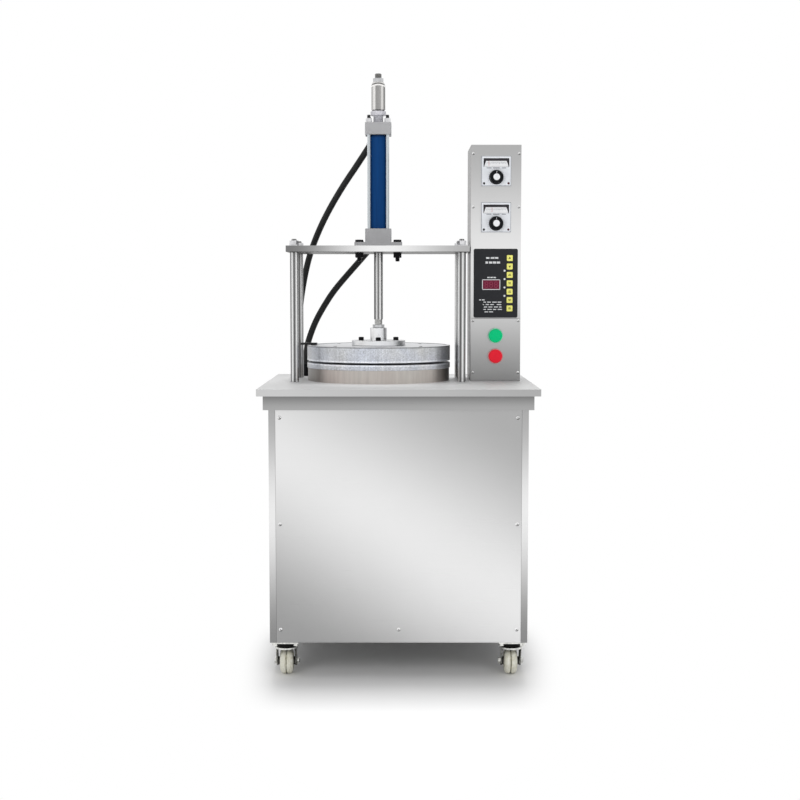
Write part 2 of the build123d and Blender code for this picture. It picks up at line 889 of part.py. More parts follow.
# Flange bolts with nuts and washers under the bridge
flange_nut_bottom = bridge_bottom - flange_washer_thickness - flange_nut_height
with BuildPart() as flange_bolts:
    with BuildSketch(level(flange_top)):
        with GridLocations(flange_bolt_pitch_x, flange_bolt_pitch_y, 2, 2):
            RegularPolygon(flange_bolt_hex / 2, 6, major_radius=False)
    extrude(amount=flange_bolt_head)
    chamfer(flange_bolts.faces().filter_by(Axis.Z).group_by(Axis.Z)[-1].edges(), column_chamfer)
    with BuildSketch(level(flange_top)):
        with GridLocations(flange_bolt_pitch_x, flange_bolt_pitch_y, 2, 2):
            Circle(flange_bolt / 2)
    extrude(amount=flange_nut_bottom - flange_bolt_end - flange_top)
    chamfer(flange_bolts.faces().filter_by(Axis.Z).group_by(Axis.Z)[0].edges(), column_chamfer)
bolt_pieces = [flange_bolts.part]
bolt_hole = flange_bolt / 2 + slip_fit
for side_x, side_y in corners:
    x = press_x + side_x * flange_bolt_pitch_x / 2
    y = press_y + side_y * flange_bolt_pitch_y / 2
    washer_plane = level(bridge_bottom - flange_washer_thickness, x, y)
    bolt_pieces.append(washer(washer_plane, flange_washer, flange_washer_thickness, bolt_hole))
    nut_plane = level(flange_nut_bottom, x, y)
    bolt_pieces.append(hex_nut(nut_plane, flange_bolt_hex, flange_nut_height, bolt_hole))
save_group(bolt_pieces, "flange_bolts")

# Ram rod: turned end in the hub, rod, and tail rod through the cap
with BuildPart() as ram_rod:
    with BuildSketch(level(hub_top - hub_thread_depth)):
        Circle(rod_thread / 2)
    extrude(amount=rod_nut_top - hub_top + hub_thread_depth)
    with BuildSketch(level(rod_nut_top)):
        Circle(rod_flats_diameter / 2)
    extrude(amount=rod_flats_height)
    with BuildSketch(level(rod_shoulder)):
        Circle(rod_diameter / 2)
    extrude(amount=piston_bottom - rod_shoulder)
    chamfer(ram_rod.faces().filter_by(Axis.Z).sort_by(Axis.Z)[-1].edges(), column_chamfer)
    with BuildSketch(level(piston_bottom - column_chamfer)):
        Circle(tail_diameter / 2)
    extrude(amount=tail_top - piston_bottom + column_chamfer)
    chamfer(ram_rod.faces().sort_by(Axis.Z)[-1].edges(), column_chamfer)
save(ram_rod.part, "ram_rod")

# Piston with two seal grooves, and the nut that clamps it
with BuildPart() as piston:
    with BuildSketch(level(piston_bottom)):
        Circle(barrel_bore / 2 - running_fit)
        Circle(tail_diameter / 2 + running_fit, mode=Mode.SUBTRACT)
    extrude(amount=piston_height)
    for side in (-1, 1):
        groove_level = piston_bottom + piston_height / 2 + side * seal_groove_spacing / 2
        with BuildSketch(level(groove_level - seal_groove_width / 2)):
            Circle(barrel_bore / 2)
            Circle(barrel_bore / 2 - running_fit - seal_groove_depth, mode=Mode.SUBTRACT)
        extrude(amount=seal_groove_width, mode=Mode.SUBTRACT)
piston_nut = hex_nut(level(piston_top), piston_nut_hex, piston_nut_height, tail_diameter / 2 + running_fit)
save_group([piston.part, piston_nut], "piston")

# Fasteners of the ram: rod lock nut, hub screws and cover screws
with BuildPart() as hub_screws:
    with BuildSketch(level(hub_flange_top)):
        with PolarLocations(hub_screw_circle / 2, 4):
            Circle(hub_screw_head / 2)
    extrude(amount=hub_screw_head_height)
    chamfer(hub_screws.faces().filter_by(Axis.Z).group_by(Axis.Z)[-1].edges(), column_chamfer)
    with BuildSketch(level(hub_flange_top + hub_screw_head_height)):
        with PolarLocations(hub_screw_circle / 2, 4):
            RegularPolygon(hub_screw_socket / 2, 6, major_radius=False)
    extrude(amount=-hub_screw_head_height / 2, mode=Mode.SUBTRACT)
    with BuildSketch(level(hub_flange_top)):
        with PolarLocations(hub_screw_circle / 2, 4):
            Circle(hub_screw / 2)
    extrude(amount=-(hub_flange_thickness + hub_screw_depth))
cover_screw_places = [
    (place.position.X, place.position.Y)
    for place in PolarLocations(cover_screw_circle / 2, 4, start_angle=45)
]
cover_screws = pan_screws(
    level(cover_top),
    cover_screw_places,
    cover_screw_head,
    cover_screw_head_height,
    cover_screw,
    cover_screw_depth,
)
rod_nut = hex_nut(level(hub_top), rod_nut_hex, rod_nut_height, rod_thread / 2 + slip_fit)
save_group([hub_screws.part, cover_screws, rod_nut], "ram_fasteners")

# Platen hub
with BuildPart() as platen_hub:
    with BuildSketch(level(upper_platen_top)):
        Circle(hub_flange_diameter / 2)
    extrude(amount=hub_flange_thickness)
    fillet(platen_hub.faces().sort_by(Axis.Z)[-1].edges(), hub_round)
    with BuildSketch(level(hub_flange_top)):
        Circle(hub_boss_diameter / 2)
    extrude(amount=hub_boss_height)
    fillet(platen_hub.faces().sort_by(Axis.Z)[-1].edges(), hub_round)
    with BuildSketch(level(hub_top)):
        Circle(rod_thread / 2 + slip_fit)
    extrude(amount=-hub_thread_depth, mode=Mode.SUBTRACT)
    with BuildSketch(level(upper_platen_top)):
        with PolarLocations(hub_screw_circle / 2, 4):
            Circle(hub_screw / 2 + slip_fit)
    extrude(amount=hub_flange_thickness, mode=Mode.SUBTRACT)
save(platen_hub.part, "platen_hub")

# Upper platen with a heater pocket under a recessed cover
terminal_plane = level(upper_platen_top).rotated((0, 0, terminal_angle))
terminal_pin_radius = (cover_diameter + platen_diameter) / 4
with BuildPart() as upper_platen:
    with BuildSketch(level(upper_platen_bottom)):
        Circle(platen_diameter / 2)
    extrude(amount=upper_platen_thickness)
    fillet(upper_platen.edges(), platen_round)
    with BuildSketch(level(upper_platen_top)):
        Circle(cover_diameter / 2 + panel_gap)
        Circle(hub_flange_diameter / 2, mode=Mode.SUBTRACT)
    extrude(amount=-cover_recess, mode=Mode.SUBTRACT)
    with BuildSketch(level(upper_platen_top)):
        Circle(heater_pocket_outer / 2)
        Circle(heater_pocket_inner / 2, mode=Mode.SUBTRACT)
    extrude(amount=-heater_pocket_depth, mode=Mode.SUBTRACT)
    with BuildSketch(level(upper_platen_top)):
        with PolarLocations(hub_screw_circle / 2, 4):
            Circle(hub_screw / 2 + slip_fit)
    extrude(amount=-hub_screw_depth, mode=Mode.SUBTRACT)
    with BuildSketch(level(cover_top)):
        with Locations(*cover_screw_places):
            Circle(cover_screw / 2 + slip_fit)
    extrude(amount=-cover_screw_depth, mode=Mode.SUBTRACT)
    with BuildSketch(terminal_plane):
        with Locations((terminal_pin_radius, 0)):
            Circle(terminal_pin / 2 + slip_fit)
    extrude(amount=-terminal_pin_depth, mode=Mode.SUBTRACT)
save(upper_platen.part, "upper_platen")

# Cover ring over the heater pocket, and the terminal block pinned to the platen's rim
with BuildPart() as cover_ring:
    with BuildSketch(level(cover_seat)):
        Circle(cover_diameter / 2)
        Circle(hub_flange_diameter / 2 + panel_gap, mode=Mode.SUBTRACT)
        with Locations(*cover_screw_places):
            Circle(cover_screw / 2 + slip_fit, mode=Mode.SUBTRACT)
    extrude(amount=cover_thickness)
with BuildPart() as terminal_block:
    with BuildSketch(terminal_plane):
        with Locations((platen_diameter / 2 + terminal_overhang - terminal_length / 2, 0)):
            RectangleRounded(terminal_length, terminal_width, column_chamfer)
    extrude(amount=terminal_height)
    chamfer(terminal_block.faces().sort_by(Axis.Z)[-1].edges(), column_chamfer)
    with BuildSketch(terminal_plane):
        with Locations((terminal_pin_radius, 0)):
            Circle(terminal_pin / 2)
    extrude(amount=-(terminal_pin_depth - panel_gap))
save_group([cover_ring.part, terminal_block.part], "upper_cover")

# Upper heater: an open ring in the pocket
upper_ring_level = upper_platen_top - heater_pocket_depth + heater_tube / 2 + heater_gap
ring_start = terminal_angle + (360.0 - heater_arc) / 2
with BuildPart() as upper_heater:
    ring_plane = level(upper_ring_level).rotated((0, 0, ring_start))
    with BuildSketch(Plane(ring_plane.origin, x_dir=ring_plane.x_dir, z_dir=-ring_plane.y_dir)):
        with Locations((heater_circle / 2, 0)):
            Circle(heater_tube / 2)
    revolve(axis=Axis(ring_plane.origin, (0, 0, 1)), revolution_arc=heater_arc)
save(upper_heater.part, "upper_heater")

# Stroke adjuster: sleeve and lock nut on the tail rod
with BuildPart() as adjuster_sleeve:
    with BuildSketch(level(sleeve_bottom)):
        Circle(sleeve_diameter / 2)
    extrude(amount=sleeve_length)
    chamfer(adjuster_sleeve.faces().sort_by(Axis.Z)[0].edges(), sleeve_chamfer)
    with BuildSketch(level(sleeve_bottom + sleeve_length)):
        Circle(sleeve_diameter / 2)
    with BuildSketch(level(sleeve_top)):
        Circle(sleeve_top_diameter / 2)
    loft()
    with BuildSketch(level(sleeve_bottom)):
        Circle(tail_diameter / 2 + running_fit)
    extrude(amount=sleeve_top - sleeve_bottom, mode=Mode.SUBTRACT)
save(adjuster_sleeve.part, "adjuster_sleeve")
tail_hole = tail_diameter / 2 + running_fit
adjuster_lock_nut = hex_nut(level(adjuster_nut_bottom), adjuster_nut_hex, adjuster_nut_height, tail_hole)
save(adjuster_lock_nut, "adjuster_lock_nut")

# Lower housing: an open casting with a rim, a floor and a boss under the platen
with BuildPart() as lower_housing:
    with BuildSketch(level(table_height)):
        Circle(lower_housing_diameter / 2)
    extrude(amount=lower_housing_height)
    with BuildSketch(level(table_height + lower_housing_floor)):
        Circle(lower_housing_diameter / 2 - lower_housing_wall)
        Circle(lower_boss_diameter / 2, mode=Mode.SUBTRACT)
    extrude(amount=lower_housing_height - lower_housing_floor, mode=Mode.SUBTRACT)
    with BuildSketch(level(table_height)):
        Circle(lead_hole / 2)
    extrude(amount=lower_housing_height, mode=Mode.SUBTRACT)
save(lower_housing.part, "lower_housing")

# Lower platen
with BuildPart() as lower_platen:
    with BuildSketch(level(lower_platen_bottom)):
        Circle(platen_diameter / 2)
    extrude(amount=lower_platen_thickness)
    fillet(lower_platen.edges(), platen_round)
save(lower_platen.part, "lower_platen")

# Lower heater: an open ring under the lower platen
lower_ring_level = lower_platen_bottom - heater_tube / 2 - heater_gap
with BuildPart() as lower_heater:
    with BuildSketch(facing_front(press_y, press_x, lower_ring_level)):
        with Locations((heater_circle / 2, 0)):
            Circle(heater_tube / 2)
    revolve(axis=Axis((press_x, press_y, 0), (0, 0, 1)), revolution_arc=heater_arc)
save(lower_heater.part, "lower_heater")

# Control box shell: closed, with a lip round the open front
box_middle = table_height + box_height / 2
with BuildPart() as control_box:
    with BuildSketch(facing_front(box_face, box_x, box_middle)):
        Rectangle(box_width, box_height)
    extrude(amount=-(box_depth - box_sheet))
    fillet(control_box.edges().filter_by(Axis.Y), bend_radius)
    fillet(control_box.faces().sort_by(Axis.Y)[-1].edges(), bend_radius)
    with BuildSketch(facing_front(box_face + box_sheet, box_x, box_middle)):
        Rectangle(box_width - 2 * box_sheet, box_height - 2 * box_sheet)
    extrude(amount=-(box_depth - 3 * box_sheet), mode=Mode.SUBTRACT)
    with BuildSketch(facing_front(box_face, box_x, box_middle)):
        Rectangle(box_width - 2 * box_lip, box_height - 2 * box_lip)
    extrude(amount=-box_sheet, mode=Mode.SUBTRACT)
    with BuildSketch(facing_front(box_face)):
        with Locations(*box_screw_places):
            Circle(box_screw_diameter / 2 + slip_fit)
    extrude(amount=-box_sheet, mode=Mode.SUBTRACT)
    with BuildSketch(level(table_height, box_x, box_front + box_depth / 2)):
        Circle(wire_hole / 2)
    extrude(amount=box_sheet, mode=Mode.SUBTRACT)
save(control_box.part, "control_box")

# Control panel: an upper and a lower plate with their cut-outs
controller_places = [(box_x, table_height + rise) for rise in controller_levels]
button_places = [(box_x, table_height + rise) for rise in button_levels]
keypad_place = (box_x, table_height + keypad_level)
panel_plates = []
for low, high in ((0.0, panel_seam), (panel_seam + panel_gap, box_height)):
    with BuildPart() as panel_plate:
        with BuildSketch(facing_front(box_face, box_x, table_height + (low + high) / 2)):
            Rectangle(box_width, high - low)
        extrude(amount=box_sheet)
        fillet(panel_plate.edges().filter_by(Axis.Y), bend_radius)
        fillet(panel_plate.faces().sort_by(Axis.Y)[0].edges(), box_sheet / 2)
        with BuildSketch(facing_front(box_face)):
            with Locations(*controller_places):
                Rectangle(controller_body + 2 * panel_gap, controller_body + 2 * panel_gap)
            with Locations(keypad_place):
                Rectangle(keypad_body_width + 2 * panel_gap, keypad_body_height + 2 * panel_gap)
            with Locations(*button_places):
                Circle(button_barrel / 2 + slip_fit)
            with Locations(*box_screw_places):
                Circle(box_screw_diameter / 2 + slip_fit)
        extrude(amount=box_sheet, mode=Mode.SUBTRACT)
    panel_plates.append(panel_plate.part)
save_group(panel_plates, "control_panel")

# Dial controllers: a bezel on the panel with a body behind it
with BuildPart() as dial_controllers:
    with BuildSketch(facing_front(box_front)):
        with Locations(*controller_places):
            RectangleRounded(controller_width, controller_width, controller_corner)
    extrude(amount=controller_bezel)
    chamfer(dial_controllers.faces().filter_by(Axis.Y).group_by(Axis.Y)[0].edges(), column_chamfer)
    with BuildSketch(facing_front(box_front)):
        with Locations(*controller_places):
            Rectangle(controller_body, controller_body)
    extrude(amount=-controller_depth)
    with BuildSketch(facing_front(bezel_front)):
        with Locations(*[(x, z + window_rise) for x, z in controller_places]):
            RectangleRounded(window_width, window_height, column_chamfer)
    extrude(amount=-window_depth, taper=10, mode=Mode.SUBTRACT)
    with BuildSketch(facing_front(bezel_front)):
        with Locations(*[(x, z - knob_drop) for x, z in controller_places]):
            Circle(knob_shaft / 2 + running_fit)
    extrude(amount=-(knob_shaft_length + panel_gap), mode=Mode.SUBTRACT)
save(dial_controllers.part, "dial_controllers")

# Controller knobs with a round cap in the face
for name, (x, z) in zip(("knob_upper", "knob_lower"), controller_places):
    knob_back = bezel_front - stop_gap
    with BuildPart() as knob:
        with BuildSketch(facing_front(knob_back, x, z - knob_drop)):
            Circle(knob_diameter / 2)
        with BuildSketch(facing_front(knob_back - knob_height, x, z - knob_drop)):
            Circle(knob_top_diameter / 2)
        loft()
        fillet(knob.faces().sort_by(Axis.Y)[0].edges(), column_chamfer)
        with BuildSketch(facing_front(knob_back - knob_height, x, z - knob_drop)):
            Circle(knob_cap_diameter / 2 + slip_fit)
        extrude(amount=-knob_cap_height, mode=Mode.SUBTRACT)
        with BuildSketch(facing_front(knob_back, x, z - knob_drop)):
            Circle(knob_shaft / 2)
        extrude(amount=-knob_shaft_length)
    with BuildPart() as knob_cap:
        with BuildSketch(facing_front(knob_back - knob_height + knob_cap_height, x, z - knob_drop)):
            Circle(knob_cap_diameter / 2)
        extrude(amount=knob_cap_height)
    save_group([knob.part, knob_cap.part], name)

# Keypad plate with pockets for the keys, the display and the lamps
key_rows = [key_pitch * (key_count - 1) / 2 - key_pitch * row for row in range(key_count)]
key_places = [(box_x + key_x, keypad_place[1] + rise) for rise in key_rows]
lamp_places = [
    (box_x + lamp_x, (key_places[row + 1][1] + key_places[row + 2][1]) / 2)
    for row in range(lamp_rows)
]
display_place = (box_x + display_x, keypad_place[1] - display_drop)
pocket_depth = key_thickness - key_proud + key_travel_room
with BuildPart() as keypad:
    with BuildSketch(facing_front(box_front)):
        with Locations(keypad_place):
            RectangleRounded(keypad_width, keypad_height, keypad_corner)
    extrude(amount=keypad_thickness)
    chamfer(keypad.faces().sort_by(Axis.Y)[0].edges(), running_fit * 10)
    with BuildSketch(facing_front(box_front)):
        with Locations(keypad_place):
            Rectangle(keypad_body_width, keypad_body_height)
    extrude(amount=-keypad_body_depth)
    with BuildSketch(facing_front(keypad_front)):
        with Locations(*key_places):
            RectangleRounded(key_size + 2 * panel_gap, key_size + 2 * panel_gap, key_corner)
    extrude(amount=-pocket_depth, mode=Mode.SUBTRACT)
    with BuildSketch(facing_front(keypad_front)):
        with Locations(display_place):
            Rectangle(display_width, display_height)
        with Locations(*lamp_places):
            Circle(lamp_diameter / 2 + slip_fit)
    extrude(amount=-display_thickness, mode=Mode.SUBTRACT)
with BuildPart() as display:
    with BuildSketch(facing_front(keypad_front + display_thickness)):
        with Locations(display_place):
            Rectangle(display_width - 2 * slip_fit, display_height - 2 * slip_fit)
    extrude(amount=display_thickness + display_proud)
with BuildPart() as lamps:
    with BuildSketch(facing_front(keypad_front + lamp_thickness)):
        with Locations(*lamp_places):
            Circle(lamp_diameter / 2)
    extrude(amount=lamp_thickness + lamp_proud)
    fillet(lamps.faces().filter_by(Axis.Y).group_by(Axis.Y)[0].edges(), lamp_proud)
save_group([keypad.part, display.part, lamps.part], "keypad_plate")

# Keys
for row, place in enumerate(key_places):
    with BuildPart() as key:
        with BuildSketch(facing_front(keypad_front - key_proud)):
            with Locations(place):
                RectangleRounded(key_size, key_size, key_corner)
        extrude(amount=-key_thickness)
        fillet(key.faces().sort_by(Axis.Y)[0].edges(), key_proud / 2)
    save(key.part, f"key_{row + 1}")

# Button collars with their contact blocks
ring_front = box_front - collar_ring_height
pocket_floor = box_front - collar_base
collar_pieces = []
for place in button_places:
    with BuildPart() as collar:
        with BuildSketch(facing_front(box_front)):
            with Locations(place):
                Circle(collar_ring_diameter / 2)
        extrude(amount=collar_ring_height)
        chamfer(collar.faces().sort_by(Axis.Y)[0].edges(), column_chamfer)
        with BuildSketch(facing_front(pocket_floor)):
            with Locations(place):
                Circle(button_diameter / 2 + panel_gap)
        extrude(amount=collar_ring_height - collar_base, mode=Mode.SUBTRACT)
        with BuildSketch(facing_front(box_front)):
            with Locations(place):
                Circle(button_barrel / 2)
        extrude(amount=-button_barrel_length)
        with BuildSketch(facing_front(box_front + button_barrel_length)):
            with Locations(place):
                Rectangle(contact_width, contact_width)
        extrude(amount=-contact_depth)
        with BuildSketch(facing_front(pocket_floor)):
            with Locations(place):
                Circle(button_stem / 2 + running_fit)
        extrude(amount=-(button_stem_length + collar_base), mode=Mode.SUBTRACT)
    collar_pieces.append(collar.part)
save_group(collar_pieces, "button_collars")

# Push buttons
button_back = pocket_floor - button_travel_room
for name, place in zip(("start_button", "stop_button"), button_places):
    with BuildPart() as button:
        with BuildSketch(facing_front(button_back)):
            with Locations(place):
                Circle(button_diameter / 2)
        extrude(amount=button_height)
        fillet(button.faces().sort_by(Axis.Y)[0].edges(), column_chamfer)
        with BuildSketch(facing_front(button_back)):
            with Locations(place):
                Circle(button_stem / 2)
        extrude(amount=-(button_stem_length - panel_gap))
    save(button.part, name)

# Caster plates with race and king pin, and their bolts
plates = []
for x, y in caster_centres:
    with BuildPart() as plate:
        with BuildSketch(level(caster_plate_bottom, x, y)):
            RectangleRounded(caster_plate_width, caster_plate_width, table_corner)
            with GridLocations(caster_bolt_pitch, caster_bolt_pitch, 2, 2):
                Circle(caster_bolt / 2 + slip_fit, mode=Mode.SUBTRACT)
        extrude(amount=caster_plate)
        with BuildSketch(level(race_bottom, x, y)):
            Circle(race_diameter / 2)
        extrude(amount=race_height)
        with BuildSketch(level(crown_bottom - stop_gap, x, y)):
            Circle(king_pin / 2)
        extrude(amount=race_bottom - crown_bottom + stop_gap)
        with BuildSketch(level(crown_bottom - stop_gap, x, y)):
            Circle(king_pin_head / 2)
        extrude(amount=-king_pin_head_height)
    with BuildPart() as plate_bolts:
        with BuildSketch(level(caster_plate_bottom, x, y)):
            with GridLocations(caster_bolt_pitch, caster_bolt_pitch, 2, 2):
                RegularPolygon(caster_bolt_hex / 2, 6, major_radius=False)
        extrude(amount=-caster_bolt_head)
        with BuildSketch(level(caster_plate_bottom, x, y)):
            with GridLocations(caster_bolt_pitch, caster_bolt_pitch, 2, 2):
                Circle(caster_bolt / 2)
        extrude(amount=caster_plate + floor_sheet)
    plates += [plate.part, plate_bolts.part]
save_group(plates, "caster_plates")

# Caster forks with axle bolt and nut, and wheels
leg_inner = wheel_width / 2 + fork_gap
leg_outer = leg_inner + fork_leg
for place, (x, y) in zip(caster_places, caster_centres):
    wheel_y = y + caster_trail
    with BuildPart() as fork:
        with BuildSketch(level(crown_bottom, x, y)):
            Circle(crown_diameter / 2)
        extrude(amount=crown_thickness)
        fillet(fork.edges(), crown_thickness * 0.3)
        for side in (-1, 1):
            leg_plane = Plane((x + side * leg_inner, y, 0), x_dir=(0, 1, 0), z_dir=(1, 0, 0))
            with BuildSketch(leg_plane):
                with BuildLine():
                    Polyline(
                        (-fork_top_half, crown_bottom + crown_thickness / 2),
                        (fork_top_half, crown_bottom + crown_thickness / 2),
                        (caster_trail + fork_eye, axle_level),
                        (caster_trail - fork_eye, axle_level),
                        close=True,
                    )
                make_face()
                with Locations((caster_trail, axle_level)):
                    Circle(fork_eye)
                    Circle(axle_diameter / 2 + slip_fit, mode=Mode.SUBTRACT)
            extrude(amount=side * fork_leg)
        with BuildSketch(level(crown_bottom, x, y)):
            Circle(king_pin / 2 + running_fit)
        extrude(amount=crown_thickness, mode=Mode.SUBTRACT)
    axle_plane = Plane((x - leg_outer, wheel_y, axle_level), x_dir=(0, 1, 0), z_dir=(1, 0, 0))
    with BuildPart() as axle:
        with BuildSketch(axle_plane):
            RegularPolygon(axle_hex / 2, 6, major_radius=False)
        extrude(amount=-axle_head_height)
        with BuildSketch(axle_plane):
            Circle(axle_diameter / 2)
        extrude(amount=2 * leg_outer + axle_head_height + column_chamfer)
    axle_nut = hex_nut(
        axle_plane.offset(2 * leg_outer), axle_hex, axle_head_height, axle_diameter / 2 + slip_fit
    )
    save_group([fork.part, axle.part, axle_nut], f"caster_fork_{place}")
    with BuildPart() as wheel:
        with BuildSketch(facing_front(wheel_y, x, axle_level)) as section:
            with Locations((0, wheel_diameter / 2 - wheel_rim / 2)):
                Rectangle(wheel_width, wheel_rim)
            fillet(section.vertices().group_by(Axis.Y)[-1], wheel_shoulder)
            with Locations((0, wheel_diameter / 4)):
                Rectangle(wheel_web_width, wheel_diameter / 2 - wheel_rim / 2)
            with Locations((0, wheel_hub_diameter / 4)):
                Rectangle(2 * (leg_inner - stop_gap), wheel_hub_diameter / 2)
            with Locations((0, 0)):
                Rectangle(wheel_width * 2, axle_diameter + 2 * running_fit, mode=Mode.SUBTRACT)
            with BuildLine():
                Polyline(
                    (-groove_width / 2, wheel_diameter / 2),
                    (groove_width / 2, wheel_diameter / 2),
                    (0, wheel_diameter / 2 - groove_depth),
                    close=True,
                )
            make_face(mode=Mode.SUBTRACT)
        revolve(axis=Axis((x, wheel_y, axle_level), (1, 0, 0)))
    save(wheel.part, f"caster_wheel_{place}")

# Fittings: elbow on the cap, straight union on the head, bulkheads in the table, cable gland
elbow_centre = Vector(press_x, block_back + elbow_reach, cap_port)
elbow_way = (Vector(*upper_route[0]) - elbow_centre).normalized()
upper_points = [elbow_centre + elbow_way * upper_hose_start] + [Vector(*point) for point in upper_route]
lower_points = [Vector(*point) for point in lower_route]
elbow_plane = Plane(elbow_centre, z_dir=elbow_way)
ferrule_start = upper_hose_start - ferrule_length
with BuildPart() as elbow:
    with BuildSketch(facing_back(block_back, press_x, cap_port)):
        Circle(fitting_thread / 2)
    extrude(amount=-(port_depth - panel_gap))
    with BuildSketch(facing_back(block_back, press_x, cap_port)):
        RegularPolygon(fitting_hex / 2, 6, major_radius=False)
    extrude(amount=fitting_hex_height)
    with BuildSketch(facing_back(block_back, press_x, cap_port)):
        Circle(fitting_tube / 2)
    extrude(amount=elbow_reach)
    with Locations(elbow_centre):
        Sphere(fitting_tube / 2)
    with BuildSketch(elbow_plane):
        Circle(fitting_tube / 2)
    extrude(amount=ferrule_start)
    with BuildSketch(elbow_plane.offset(ferrule_start)):
        RegularPolygon(fitting_hex / 2, 6, major_radius=False)
    extrude(amount=-union_nut_height)
    with BuildSketch(elbow_plane.offset(ferrule_start)):
        Circle(ferrule_diameter / 2)
    extrude(amount=ferrule_length)
with BuildPart() as union:
    with BuildSketch(facing_back(block_back, press_x, head_port)):
        Circle(fitting_thread / 2)
    extrude(amount=-(port_depth - panel_gap))
    with BuildSketch(facing_back(block_back, press_x, head_port)):
        RegularPolygon(fitting_hex / 2, 6, major_radius=False)
    extrude(amount=union_length - ferrule_length)
    with BuildSketch(facing_back(block_back + union_length, press_x, head_port)):
        Circle(ferrule_diameter / 2)
    extrude(amount=-ferrule_length)
fittings = [elbow.part, union.part]
for x, y in bulkhead_places:
    with BuildPart() as bulkhead:
        with BuildSketch(level(table_height, x, y)):
            RegularPolygon(bulkhead_hex / 2, 6, major_radius=False)
        extrude(amount=bulkhead_hex_height)
        with BuildSketch(level(table_height + bulkhead_hex_height, x, y)):
            Circle(ferrule_diameter / 2)
        extrude(amount=bulkhead_ferrule)
        with BuildSketch(level(table_height, x, y)):
            Circle(bulkhead_thread / 2)
        extrude(amount=-bulkhead_below)
    nut_plane = level(sheet_bottom - bulkhead_nut_height, x, y)
    bulkhead_hole = bulkhead_thread / 2 + slip_fit
    fittings += [bulkhead.part, hex_nut(nut_plane, bulkhead_hex, bulkhead_nut_height, bulkhead_hole)]
with BuildPart() as gland:
    gland_plane = facing_back(body_half_y, gland_x, gland_level)
    with BuildSketch(gland_plane):
        RegularPolygon(gland_hex / 2, 6, major_radius=False)
    extrude(amount=gland_hex_height)
    with BuildSketch(gland_plane):
        Circle(gland_dome / 2)
    extrude(amount=gland_hex_height + gland_dome_height)
    fillet(gland.faces().sort_by(Axis.Y)[-1].edges(), hub_round)
    with BuildSketch(gland_plane):
        Circle(gland_thread / 2)
    extrude(amount=-gland_inside)
    with BuildSketch(gland_plane.offset(-gland_inside)):
        Circle(gland_bore / 2)
    extrude(amount=gland_inside + gland_hex_height + gland_dome_height, mode=Mode.SUBTRACT)
gland_nut = hex_nut(
    facing_front(inner_half_y, gland_x, gland_level), gland_hex, gland_nut_height, gland_thread / 2 + slip_fit
)
save_group(fittings + [gland.part, gland_nut], "fittings")

# Hoses: straight runs joined by arcs as large as the runs allow
for name, points in (("upper_hose", upper_points), ("lower_hose", lower_points)):
    bends = []
    for before, corner, after in zip(points, points[1:], points[2:]):
        turn = (corner - before).get_angle(after - corner)
        shorter = min((corner - before).length, (after - corner).length)
        bends.append(0.45 * shorter / tan(radians(turn / 2)))
    with BuildPart() as hose:
        with BuildLine() as route:
            FilletPolyline(*points, radius=bends)
        with BuildSketch(Plane(points[0], z_dir=points[1] - points[0])):
            Circle(hose_diameter / 2)
        sweep()
    route_length = sum(edge.length for edge in route.edges())
    ratio = hose.part.volume / (pi * hose_diameter**2 / 4 * route_length)
    print(name, "length", round(route_length, 1), "volume ratio", round(ratio, 4))
    print(name, "bend radii", [round(bend) for bend in bends])
    save(hose.part, name)

# Oil tank with lid and filler
with BuildPart() as tank:
    with BuildSketch(level(frame_bottom, tank_x, tank_y)):
        Rectangle(tank_length, tank_depth)
    extrude(amount=tank_height)
    with BuildSketch(level(frame_bottom + tank_wall, tank_x, tank_y)):
        Rectangle(tank_length - 2 * tank_wall, tank_depth - 2 * tank_wall)
    extrude(amount=tank_height - tank_wall, mode=Mode.SUBTRACT)
with BuildPart() as tank_lid:
    with BuildSketch(level(tank_top, tank_x, tank_y)):
        Rectangle(tank_length + 2 * lid_overhang, tank_depth + 2 * lid_overhang)
        with Locations((motor_x - tank_x, motor_y - tank_y)):
            Circle(shaft_hole / 2, mode=Mode.SUBTRACT)
    extrude(amount=lid_thickness)
with BuildPart() as filler:
    with BuildSketch(level(lid_top, tank_x - filler_offset, tank_y - filler_offset)):
        Circle(filler_diameter / 2)
    extrude(amount=filler_height)
    fillet(filler.faces().sort_by(Axis.Z)[-1].edges(), hub_round)
save_group([tank.part, tank_lid.part, filler.part], "oil_tank")

